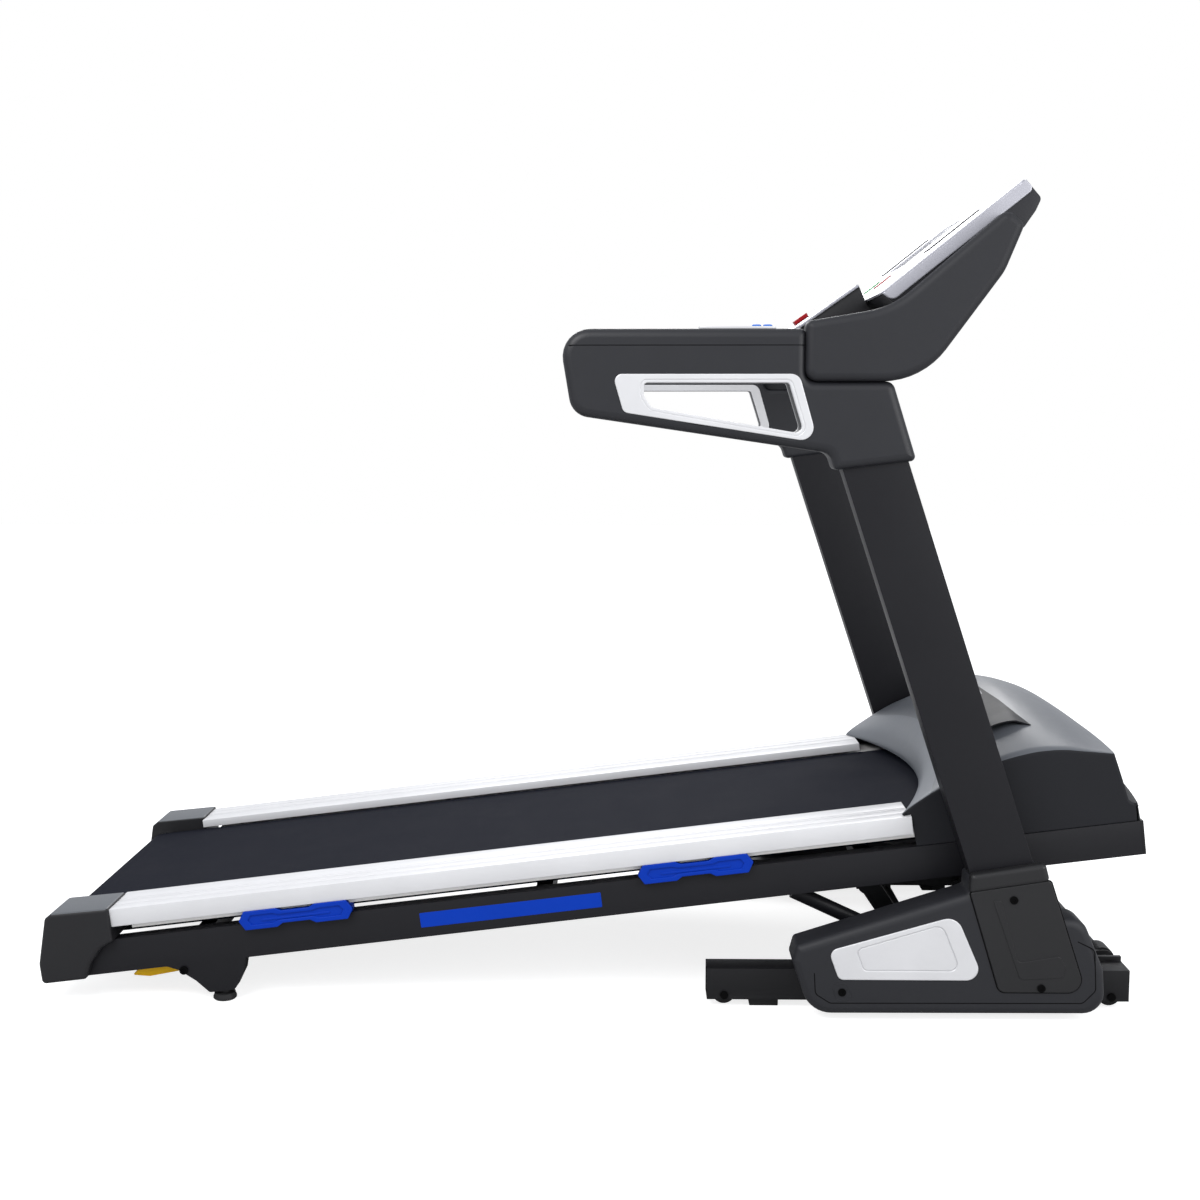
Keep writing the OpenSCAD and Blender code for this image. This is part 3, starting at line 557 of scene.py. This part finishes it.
# base frame, masts and rest pads
baseEdges = {"frameRounding": 3.0, "mastRounding": 9.0}   # mm
softEdged("base_frame", "base", "frameBlackCoat", baseEdges["frameRounding"], segments=3)
for side in ("right", "left"):
    softEdged("mast_" + side, "base", "satinBlackCoat", baseEdges["mastRounding"], segments=5)
softEdged("rest_pads", "base", "wheelRubber", 1.5)
print("base and masts done")

# base covers
cover = {
    "inner": 366.0, "outer": 434.0, "shoulder": 13.0,
    "outline": [(288, 131, 8), (281, 105, 14), (312, 13, 50), (810, 15, 45), (804, 92, 30),
                (768, 178, 40), (730, 182, 10), (706, 250, 14), (688, 272, 8), (575, 250, 8),
                (574, 224, 6), (460, 187, 90)],
    "screwTab": [(347, 66, 8), (371, 70, 8), (388, 40, 8), (356, 36, 8)],
    "screwTabInner": [(349.5, 64.2, 6.5), (370, 67.6, 6.5), (384.5, 41.8, 6.5), (357.5, 38.4, 6.5)],
    "panelLine": [(318, 86), (320, 50), (345, 34), (769, 36), (790, 58), (786, 129), (757, 143)],
    "lineWidth": 1.6,
}
for side, sign in (("right", -1), ("left", 1)):
    # the panel line is a thin proud near-black strip: painted shade standing in for the engraved groove
    bm = plates([([cover["outline"]], cover["inner"], cover["outer"], 2.0, cover["shoulder"]),
                 ([cover["screwTab"], cover["screwTabInner"]], cover["outer"] - 2, cover["outer"] + 0.4,
                  0.2, 0.3),
                 ([seamStrip(cover["panelLine"], cover["lineWidth"], 12)], cover["outer"] - 1,
                  cover["outer"] + 0.25, 0.05, 0.15, 1)], (sign,))
    linkPiece("base_cover_%s_moulded" % side, meshFromBmesh(bm, "cover", onBase), "base",
              ("grainBlackPlastic", "seamPaintedShade"), ("base_cover_" + side,))

insert = {
    "outer": [(359, 75, 12), (341, 125, 14), (554, 187, 26), (603, 75, 20)],
    "well": [(400.5, 91.2, 8.8), (387, 127.6, 8.8), (530.4, 172, 16.8), (563.2, 91.2, 12.8)],
    "pad": [(401.5, 92.2, 8), (388.6, 126.8, 8), (529.6, 170.6, 16), (561.4, 92.2, 12)],
}
bm = plates([([insert["outer"], insert["well"]], cover["outer"] - 1, cover["outer"] + 2.0, 0.2, 1.6),
             ([insert["outer"]], cover["outer"] - 1, cover["outer"] + 0.2, 0.1, 0.1),
             ([insert["pad"]], cover["outer"] - 0.5, cover["outer"] + 1.5, 0.2, 0.8)], (-1, 1))
linkPiece("cover_inserts_moulded", meshFromBmesh(bm, "inserts", onBase), "base", "paleSilver",
          ("cover_inserts",))

boot = {
    "plate": [(575, 227, 4), (709, 248, 6), (773, 55, 22), (628, 55, 14)],
    "collar": [(576, 257, 8), (574, 225, 5), (708.5, 246, 8), (700, 277, 8)],
    "relief": [(613, 214, 3), (627, 214, 3), (658, 107, 8), (727, 119, 8), (738, 101, 8), (734, 81, 8),
               (662, 77, 10)],
}
# the near-black ring around each boot plate is painted shade in the gap between plate and cover
bm = plates([([boot["plate"]], cover["outer"] - 1, cover["outer"] + 2.8, 0.2, 1.6),
             ([insetCorners(boot["plate"], -1.8), boot["plate"]], cover["outer"] - 1, cover["outer"] + 0.35,
              0.05, 0.1, 1),
             ([boot["relief"]], cover["outer"] + 1.6, cover["outer"] + 3.9, 0.2, 1.0),
             ([boot["collar"]], cover["outer"] - 16, cover["outer"] + 4.0, 3.0, 8.0)], (-1, 1))
linkPiece("boot_plates_moulded", meshFromBmesh(bm, "boots", onBase), "base",
          ("satinBlackPlastic", "seamPaintedShade"), ("boot_plates",))

coverScrews = {
    "radius": 0.0068, "height": 0.0014, "recess": 0.45, "depth": 0.0009, "seed": 3,
    "coverSpot": (365, 53), "bootSpots": ((698, 63), (648, 215)), "bootProud": 3.9,
}
screwGroups = []
for sign in (-1, 1):
    values = {"Head Radius": coverScrews["radius"], "Head Height": coverScrews["height"],
              "Recess Share": coverScrews["recess"], "Recess Depth": coverScrews["depth"],
              "Turn About X": -sign * math.pi / 2, "Seed": coverScrews["seed"]}
    x, z = coverScrews["coverSpot"]
    heads = [(x, sign * cover["outer"], z)]
    heads += [(x, sign * (cover["outer"] + coverScrews["bootProud"]), z) for x, z in coverScrews["bootSpots"]]
    screwGroups.append((heads, values))
screwHeads("cover_screws_heads", screwGroups, onBase, "base", "blackBolt", ("cover_screws",))
print("covers done")

# arms
arm = {
    "inner": 366.0, "outer": 430.0, "shoulder": 14.0, "seam": 1131.0,
    "outline": [(-112, 1158, 45), (291, 1158, 12), (291, 1073, 14), (432, 1073, 16), (473, 945, 8),
                (339, 929, 8), (330, 957, 20), (-89, 1019, 35)],
    "hand": [(28, 1071, 6), (263, 1071, 6), (289, 988, 10), (40, 1031, 16), (28, 1050, 10)],
    "trim": [(-23, 1085, 12), (279, 1085, 18), (311, 974, 20), (-5, 1023, 12)],
    "lip": 5.0,
}
armLip = insetCorners(arm["hand"], -arm["lip"])
seam = arm["seam"]
# a thin near-black strip along the arm's parting line: painted shade in the seam
seamShadeLoop = [(-94, seam + 0.6, 0.3), (289, seam + 0.6, 0.3), (289, seam - 0.6, 0.3), (-94, seam - 0.6, 0.3)]
for side, sign in (("right", -1), ("left", 1)):
    bm = plates([([arm["outline"], arm["hand"]], arm["inner"], arm["outer"], 8.0, arm["shoulder"]),
                 ([seamShadeLoop], arm["outer"] - 1, arm["outer"] + 0.25, 0.05, 0.2, 1)], (sign,))
    linkPiece("arm_shell_%s_moulded" % side, meshFromBmesh(bm, "arm", onBase), "base",
              ("armBlackPlastic", "seamPaintedShade"), ("arm_shell_" + side,))
bm = plates([([arm["trim"], armLip], arm["outer"] - 2, arm["outer"] + 2.0, 0.2, 1.4),
             ([insetCorners(armLip, -0.2), arm["hand"]], arm["outer"] - 10, arm["outer"] + 1.2, 0.2, 1.2),
             ([insetCorners(arm["trim"], 1), arm["hand"]], arm["inner"] - 1.1, arm["inner"] + 6,
              0.9, 0.2)], (-1, 1))
linkPiece("arm_trims_moulded", meshFromBmesh(bm, "trims", onBase), "base", "paleSilver",
          ("arm_trims",))
softEdged("button_pods", "base", "paleSilver", 1.0)
for name in ("speed_button_up", "speed_button_down", "incline_button_up", "incline_button_down"):
    softEdged(name, name + "_body", "skyBlue", 1.5, segments=3)
print("arms done")

# console
wing = {
    "inner": 396.0, "outer": 436.0, "shoulder": 13.0,
    "outline": [(289, 1169, 12), (289, 1073, 20), (478, 1073, 125), (606, 1248, 90), (636, 1322, 14),
                (608, 1346, 16), (428, 1192, 150)],
}
for side, sign in (("right", -1), ("left", 1)):
    bm = plates([([wing["outline"]], wing["inner"], wing["outer"], 2.0, wing["shoulder"])], (sign,))
    linkPiece("console_wing_%s_moulded" % side, meshFromBmesh(bm, "wing", onBase), "base",
              "grainBlackPlastic", ("console_wing_" + side,))
softEdged("console_frame", "base", "plainBlackPlastic", 2.0)
softEdged("console_shell", "base", "grainBlackPlastic", 4.0, segments=3)

bezel = {
    "length": 291.0, "half": 396.0, "thick": 4.0, "bandDrop": 19.0, "bandCorner": 17.0,
    "keyRow": 70, "keyAcross": 60, "keyHole": 20.6,
}
keyHole = bezel["keyHole"]
quarters = ((-1, -1), (1, -1), (1, 1), (-1, 1))
roundHoles = [[(bezel["keyRow"] + keyHole * sx, y + keyHole * sy, keyHole) for sx, sy in quarters]
              for y in (-bezel["keyAcross"], bezel["keyAcross"])]
rockerHoles = [[(129.4, s * 230 - 20.6, 2), (240.6, s * 230 - 20.6, 2), (240.6, s * 230 + 20.6, 2),
                (129.4, s * 230 + 20.6, 2)] for s in (-1, 1)]
screenHole = [(120, -150, 2), (262, -150, 2), (262, 150, 2), (120, 150, 2)]
faceLoop = [(0, -bezel["half"], 6), (bezel["length"], -bezel["half"], 14),
            (bezel["length"], bezel["half"], 14), (0, bezel["half"], 6)]
bandLoop = [(0.5, 1.5, 1.5), (bezel["length"], 1.5, 1.5), (bezel["length"] + 1, -19, 8),
            (6, -bezel["bandDrop"], bezel["bandCorner"])]
bm = bmesh.new()
flat = ringPlate([faceLoop, *roundHoles, *rockerHoles, screenHole], 0.2, bezel["thick"], 0.2, 1.4)
bmesh.ops.transform(flat, matrix=upright, verts=flat.verts)
bmesh.ops.recalc_face_normals(flat, faces=flat.faces)
joinBmesh(bm, flat)
for sign in (-1, 1):
    joinBmesh(bm, ringPlate([bandLoop], bezel["half"] - 3, bezel["half"], 0.3, 2.2), sign < 0)
linkPiece("console_bezel_moulded", meshFromBmesh(bm, "bezel", onFace), "base", "bezelSilver",
          ("console_bezel",))
softEdged("console_screen", "base", "screenBlack", 0.8)
softEdged("lower_panel", "base", "bezelSilver", 1.2)
softEdged("start_key", "start_key_body", "keyGreen", 1.5, segments=3)
softEdged("stop_key", "stop_key_body", "keyRed", 1.5, segments=3)
softEdged("safety_key", "safety_key_body", "keyRed", 2.5, segments=3)
softEdged("speed_rocker", "speed_rocker_body", "plainBlackPlastic", 1.5, segments=3)
softEdged("incline_rocker", "incline_rocker_body", "plainBlackPlastic", 1.5, segments=3)
print("console done")

# deck frame, board, rails and caps
deckEdges = {"tube": 3.0, "board": 1.0, "rail": 1.2}
softEdged("deck_frame", "deck", "satinBlackCoat", deckEdges["tube"], segments=3)
softEdged("running_board", "deck", "boardWhite", deckEdges["board"])
for side in ("right", "left"):
    softEdged("side_rail_" + side, "deck", "railWhiteAlu", deckEdges["rail"])
finishNode("running_belt", "beltRubber")

cap = {
    "inner": 268.0, "outer": 368.0, "rounding": 6.0,
    "outline": [(-284, 186, 8), (-271, 194, 8), (-171, 192, 4), (-171, 133, 3), (-194, 123, 18),
                (-216, 97, 14), (-229, 71, 5), (-306, 71, 8), (-306, 107, 30)],
}
for side, sign in (("right", -1), ("left", 1)):
    bm = plates([([cap["outline"]], cap["inner"], cap["outer"], 3.0, cap["rounding"])], (sign,))
    bm.normal_update()
    # faces that look up take the lighter finish: painted reflection on the cap's top
    for face in bm.faces:
        face.material_index = 1 if face.normal.z > 0.8 else 0
    linkPiece("rear_cap_%s_moulded" % side, meshFromBmesh(bm, "cap", onDeck), "deck",
              ("capGraphite", "capTopPaintedSheen"), ("rear_cap_" + side,))

label = {"from": 363.0, "to": 680.0, "low": 90.0, "high": 116.0, "corner": 1.5,
         "inner": 351.5, "outer": 352.4}
labelSpots = ((label["from"], label["low"]), (label["to"], label["low"]),
              (label["to"], label["high"]), (label["from"], label["high"]))
labelLoop = [(x, z, label["corner"]) for x, z in labelSpots]
bm = plates([([labelLoop], label["inner"], label["outer"], 0.1, 0.3)], (-1, 1))
linkPiece("side_label", meshFromBmesh(bm, "label", onDeck), "deck", "labelBlue")

cushion = {
    "starts": (51.0, 748.0), "inner": 352.0, "outer": 363.0, "coreInner": 323,
    "outline": [(0, 141, 3), (10, 157, 3), (66, 157, 3), (76, 152, 3), (124, 152, 3), (134, 157, 3),
                (190, 157, 3), (200, 141, 3), (190, 124, 3), (134, 124, 3), (124, 130, 3), (76, 130, 3),
                (66, 124, 3), (10, 124, 3)],
    "recess": [(16, 141, 2), (22, 149, 2), (60, 149, 2), (70, 146, 2), (130, 146, 2), (140, 149, 2),
               (178, 149, 2), (184, 141, 2), (178, 132, 2), (140, 132, 2), (130, 136, 2), (70, 136, 2),
               (60, 132, 2), (22, 132, 2)],
    "core": [(4, 132, 1), (196, 132, 1), (196, 148, 1), (4, 148, 1)],
    "bar": [(40, 137, 1.5), (160, 137, 1.5), (160, 141, 1.5), (40, 141, 1.5)],
}


def shifted(loop, dx):
    return [(x + dx, z, r) for x, z, r in loop]


items = []
for start in cushion["starts"]:
    outline, recess, bar, core = (shifted(cushion[k], start) for k in ("outline", "recess", "bar", "core"))
    items += [([outline], cushion["inner"], cushion["outer"] - 2.5, 0.3, 0.5),
              ([outline, recess], cushion["inner"], cushion["outer"], 0.3, 1.2),
              ([bar], cushion["inner"], cushion["outer"] - 1.2, 0.2, 0.8),
              ([core], cushion["coreInner"], cushion["inner"], 0.5, 0.5)]
bm = plates(items, (-1, 1))
linkPiece("deck_cushions_moulded", meshFromBmesh(bm, "cushions", onDeck), "deck", "royalBlue",
          ("deck_cushions",))

foot = {"at": -704.0, "across": 337.0, "sides": 40,
        "profile": [(0, 0.0), (13, 0.0), (18.2, 0.9), (20.4, 3.0), (20.2, 6.5), (18.6, 9.5), (18.2, 12.5),
                    (9, 13.2), (8.6, 18), (0, 18)]}


def turnedPiece(profile, sides, centre):
    bm = bmesh.new()
    rows = []
    for radius, height in profile:
        if radius == 0:
            rows.append([bm.verts.new((centre[0], centre[1], height))])
            continue
        rows.append([bm.verts.new((centre[0] + radius * math.cos(math.tau * k / sides),
                                   centre[1] + radius * math.sin(math.tau * k / sides), height))
                     for k in range(sides)])
    for low, high in zip(rows, rows[1:]):
        for k in range(sides):
            j = (k + 1) % sides
            ring = [low[k % len(low)], low[j % len(low)], high[j % len(high)], high[k % len(high)]]
            bm.faces.new(list(dict.fromkeys(ring)))
    return bm


bm = bmesh.new()
for sign in (-1, 1):
    joinBmesh(bm, turnedPiece(foot["profile"], foot["sides"], (foot["at"], sign * foot["across"])))
linkPiece("rear_feet_turned", meshFromBmesh(bm, "feet", onBase), "deck", "wheelRubber",
          ("rear_feet",))

bracketBolts = {"radius": 0.0075, "height": 0.0030, "recess": 0.55, "depth": 0.0018, "seed": 8,
                "at": (-60, 63), "across": 351.8}
boltGroups = []
for sign in (-1, 1):
    values = {"Head Radius": bracketBolts["radius"], "Head Height": bracketBolts["height"],
              "Recess Share": bracketBolts["recess"], "Recess Depth": bracketBolts["depth"],
              "Turn About X": -sign * math.pi / 2, "Seed": bracketBolts["seed"]}
    x, z = bracketBolts["at"]
    boltGroups.append(([(x, sign * bracketBolts["across"], z)], values))
screwHeads("bracket_bolts", boltGroups, onDeck, "deck", "blackBolt")
print("deck done")

# motor hood: one lofted skin, with its own finish on the top, the sides and the rear band; the top's light
# grey is partly its satin finish and partly painted reflection, and the rear band's lighter tone is a painted
# highlight where the skin turns
hood = {
    "half": 350.0, "wall": 2.5, "shoulder": 4.0, "floor": 133.0, "across": 30, "parts": 5,
    "middle": [(1290, 184), (1291, 196), (1303, 226), (1330, 262), (1362, 297), (1396, 324), (1437, 337.5),
               (1474, 330), (1512, 314), (1542, 297), (1578, 268), (1606, 242), (1616, 208), (1625, 172),
               (1632, 166), (1642, 163), (1646, 134)],
    "edge": [(1211, 189), (1212, 193), (1228, 204), (1262, 222), (1316, 245), (1386, 264), (1437, 272),
             (1470, 273), (1500, 270.5), (1527, 265), (1552, 260), (1580, 254), (1589, 212), (1597.5, 170),
             (1604, 164), (1612, 162.6), (1614, 134)],
    "creases": (3, 11, 13, 15), "bandEnd": 3, "topEnd": 11,
    "cutAbove": 189.0, "cutTo": 1226.5,     # the side wall stops here, over the rail's end
}


def hoodPoint(k, y):
    share = abs(y) / hood["half"]
    lift = share ** 2
    (mx, mz), (ex, ez) = hood["middle"][k], hood["edge"][k]
    return mx + (ex - mx) * lift, mz + (ez - mz) * lift


def smoothRow(row, parts):
    # a smooth curve through the points, with a corner kept at each crease
    stops = [0, *hood["creases"], len(row) - 1]
    out = []
    for first, last in zip(stops, stops[1:]):
        for i in range(first, last):
            p0, p1, p2, p3 = (Vector(row[max(first, min(last, i + d))]) for d in (-1, 0, 1, 2))
            for k in range(parts):
                t = k / parts
                out.append(0.5 * ((2 * p1) + (p2 - p0) * t + (2 * p0 - 5 * p1 + 4 * p2 - p3) * t ** 2
                                  + (3 * p1 - p0 - 3 * p2 + p3) * t ** 3))
    out.append(Vector(row[-1]))
    return out


def hoodSkin():
    bm = bmesh.new()
    count, parts = hood["across"], hood["parts"]
    inner = hood["half"] - hood["shoulder"]
    rows = range(len(hood["middle"]))
    columns = []
    for k in range(-count, count + 1):
        y = inner * k / count
        columns.append([(p.x, y, p.y) for p in smoothRow([hoodPoint(r, y) for r in rows], parts)])
    edge = smoothRow([hoodPoint(r, hood["half"]) for r in rows], parts)
    normals = []
    for i in range(len(edge)):
        along = (edge[min(i + 1, len(edge) - 1)] - edge[max(i - 1, 0)]).normalized()
        normals.append(Vector((-along.y, along.x)))
    sides = []
    for sign in (-1, 1):     # rounded shoulder, then the flat side wall
        extra = []
        for step in range(1, 5):
            a = math.pi / 2 * step / 4
            y = sign * (inner + hood["shoulder"] * math.sin(a))
            sink = hood["shoulder"] * (1 - math.cos(a))
            extra.append([(p.x - n.x * sink, y, max(p.y - n.y * sink, hood["floor"]))
                          for p, n in zip(edge, normals)])
        for share in (0.02, 1.0):
            wall = []
            for x, y, z in extra[3]:
                low = min(z, hood["cutAbove"] if x < hood["cutTo"] else hood["floor"])
                wall.append((x, y, z + (low - z) * share))
            extra.append(wall)
        sides.append(extra)
    grid = [[bm.verts.new(p) for p in column] for column in list(reversed(sides[0])) + columns + sides[1]]
    band, top = hood["bandEnd"] * parts, hood["topEnd"] * parts
    for c in range(len(grid) - 1):
        for r in range(len(grid[0]) - 1):
            face = bm.faces.new((grid[c][r], grid[c + 1][r], grid[c + 1][r + 1], grid[c][r + 1]))
            side = c < 4 or c > len(grid) - 6
            # rear band rows get the painted highlight, top rows the painted reflection; side columns and
            # front rows keep the black side finish
            face.material_index = 1 if side or r >= top else (2 if r < band else 0)
    bmesh.ops.remove_doubles(bm, verts=bm.verts, dist=0.01)
    bmesh.ops.dissolve_degenerate(bm, dist=0.01, edges=bm.edges)
    bmesh.ops.recalc_face_normals(bm, faces=bm.faces)
    if sum(f.normal.z * f.calc_area() for f in bm.faces) < 0:
        bmesh.ops.reverse_faces(bm, faces=bm.faces)
    bm.normal_update()
    skin = list(bm.faces)
    rim = [e for e in bm.edges if len(e.link_faces) == 1]
    inside = {v: bm.verts.new(v.co - v.normal * hood["wall"]) for v in list(bm.verts)}
    for face in skin:
        bm.faces.new([inside[v] for v in reversed(face.verts)]).material_index = face.material_index
    for e in rim:
        a, b = e.verts
        bm.faces.new((a, b, inside[b], inside[a])).material_index = e.link_faces[0].material_index
    bmesh.ops.recalc_face_normals(bm, faces=bm.faces)
    return bm


badge = {
    "half": 262.0, "rear": 1345.0, "front": 1425.0, "frontSweep": 39.0, "gap": 14.0, "proud": 2.0,
    "thick": 2.6, "across": 40, "along": 14, "ceiling": 339.6,
}


def hoodHeight(x, y):
    row = [hoodPoint(k, y) for k in range(len(hood["middle"]))]
    for (x0, z0), (x1, z1) in zip(row, row[1:]):
        if x0 <= x <= x1:
            return z0 + (z1 - z0) * (x - x0) / max(x1 - x0, 0.01)
    return row[-1][1]


def badgePlate():
    # bare plate across the hood; its two ends stand clear of the skin over an open slot
    bm = bmesh.new()
    across, along = badge["across"], badge["along"]
    top, under = [], []
    for i in range(-across, across + 1):
        share = i / across
        y = badge["half"] * share
        front = badge["front"] + badge["frontSweep"] * share ** 2
        upper, lower = [], []
        for j in range(along + 1):
            t = j / along
            x = badge["rear"] + (front - badge["rear"]) * t
            z = hoodHeight(x, y) + badge["proud"] + badge["gap"] * math.sin(math.pi * t) * abs(share) ** 4
            z = min(z, badge["ceiling"])
            upper.append(bm.verts.new((x, y, z)))
            lower.append(bm.verts.new((x, y, z - badge["thick"])))
        top.append(upper)
        under.append(lower)
    for i in range(2 * across):
        for j in range(along):
            bm.faces.new((top[i][j], top[i + 1][j], top[i + 1][j + 1], top[i][j + 1]))
            bm.faces.new((under[i][j], under[i][j + 1], under[i + 1][j + 1], under[i + 1][j]))
        for j in (0, along):
            bm.faces.new((top[i][j], under[i][j], under[i + 1][j], top[i + 1][j]))
    for i in (0, 2 * across):
        for j in range(along):
            bm.faces.new((top[i][j], top[i][j + 1], under[i][j + 1], under[i][j]))
    bmesh.ops.recalc_face_normals(bm, faces=bm.faces)
    return bm


bm = hoodSkin()
joinBmesh(bm, badgePlate(), index=3)
linkPiece("motor_hood_moulded", meshFromBmesh(bm, "hood", onDeck, recalc=False), "deck",
          ("hoodTopSatinPaintedSheen", "hoodSideBlack", "hoodBandPaintedHighlight", "badgeBlack"), ("motor_hood",),
          smoothAngle=34)
print("hood done")

softEdged("motor_pan", "deck", "frameBlackCoat", 1.5)
softEdged("drive_motor", "deck", "frameBlackCoat", 1.5)
softEdged("release_lever", "release_lever_body", "leverYellow", 1.5, segments=3)
softEdged("power_switch", "power_switch_body", "switchRed", 1.0)
plainFinishes = {
    "driveRubber": ("drive_belt",),
    "turnedSteel": ("roller_bolts", "front_roller", "rear_roller", "motor_rotor", "cylinder_pin",
                    "cylinder_rod", "incline_screw"),
    "frameBlackCoat": ("fold_yoke", "incline_motor", "lift_frame"),
    "satinBlackCoat": ("cylinder_barrel",),
    "blackBolt": ("wheel_bolts",),
    "wheelRubber": ("wheel_rear_right", "wheel_rear_left", "wheel_front_right", "wheel_front_left"),
}
for finish, names in plainFinishes.items():
    for node in names:
        finishNode(node, finish)
print("lift and drive done")

# light, floor and camera
studio = {"keyPower": 100.0, "fillPower": 46.0, "rimPower": 80.0, "worldStrength": 0.85, "floorLift": 0.80,
          "floorTone": 0.50}


def addArea(name, place, target, size, power):
    data = bpy.data.lights.new(name, "AREA")
    data.shape = "RECTANGLE"
    data.size, data.size_y = size
    data.energy = power
    lamp = bpy.data.objects.new(name, data)
    lamp.location = place
    lamp.rotation_euler = (Vector(target) - Vector(place)).to_track_quat("-Z", "Y").to_euler()
    bpy.context.scene.collection.objects.link(lamp)


addArea("keyLamp", (-1.6, -2.6, 3.2), (0.1, 0, 0.4), (2.4, 1.6), studio["keyPower"])
addArea("fillLamp", (2.6, -2.2, 1.6), (0.2, 0, 0.6), (1.8, 1.8), studio["fillPower"])
addArea("rimLamp", (0.4, 2.8, 2.6), (0.1, 0, 0.5), (3.0, 1.2), studio["rimPower"])

world = bpy.data.worlds.new("studioWorld")
bpy.context.scene.world = world
world.use_nodes = True
wt = world.node_tree
wt.nodes.clear()
worldOut = wt.nodes.new("ShaderNodeOutputWorld")
lightSide = wt.nodes.new("ShaderNodeBackground")
lightSide.inputs["Color"].default_value = (0.93, 0.95, 1.0, 1)
lightSide.inputs["Strength"].default_value = studio["worldStrength"]
whiteSide = wt.nodes.new("ShaderNodeBackground")
whiteSide.inputs["Color"].default_value = (1, 1, 1, 1)
whiteSide.inputs["Strength"].default_value = 1.0
chooser = wt.nodes.new("ShaderNodeMixShader")
rays = wt.nodes.new("ShaderNodeLightPath")
either = mathNode(wt, "MAXIMUM", rays.outputs["Is Camera Ray"], rays.outputs["Is Transmission Ray"])
wt.links.new(either, chooser.inputs[0])
wt.links.new(lightSide.outputs[0], chooser.inputs[1])
wt.links.new(whiteSide.outputs[0], chooser.inputs[2])
wt.links.new(chooser.outputs[0], worldOut.inputs["Surface"])

floorMat = bpy.data.materials.new("paleFloor")
floorMat.use_nodes = True
ft = floorMat.node_tree
floorShader = ft.nodes["Principled BSDF"]
floorTone = studio["floorTone"]
floorShader.inputs["Base Color"].default_value = (floorTone, floorTone, floorTone, 1)
floorShader.inputs["Roughness"].default_value = 0.9
floorShader.inputs["Specular IOR Level"].default_value = 0.1
floorShader.inputs["Emission Color"].default_value = (1, 1, 1, 1)
floorRays = ft.nodes.new("ShaderNodeLightPath")
lift = mathNode(ft, "MULTIPLY", floorRays.outputs["Is Camera Ray"], studio["floorLift"])
ft.links.new(lift, floorShader.inputs["Emission Strength"])
bm = bmesh.new()
bmesh.ops.create_grid(bm, x_segments=2, y_segments=2, size=12)
floorMesh = meshFromBmesh(bm, "floor", recalc=False)
floorMesh.materials.append(floorMat)
floor = bpy.data.objects.new("studio_floor", floorMesh)
bpy.context.scene.collection.objects.link(floor)

view = {"lens": 47.52, "place": (0.0455, -3.016, 1.013), "downDegrees": 6.53, "leftDegrees": 0.95}
camData = bpy.data.cameras.new("viewCamera")
camData.lens = view["lens"]
camData.sensor_width = 36
camera = bpy.data.objects.new("viewCamera", camData)
camera.location = view["place"]
camera.rotation_euler = (math.radians(90 - view["downDegrees"]), 0, math.radians(view["leftDegrees"]))
bpy.context.scene.collection.objects.link(camera)
bpy.context.scene.camera = camera
bpy.context.scene.view_settings.view_transform = "Standard"
print("studio ready")
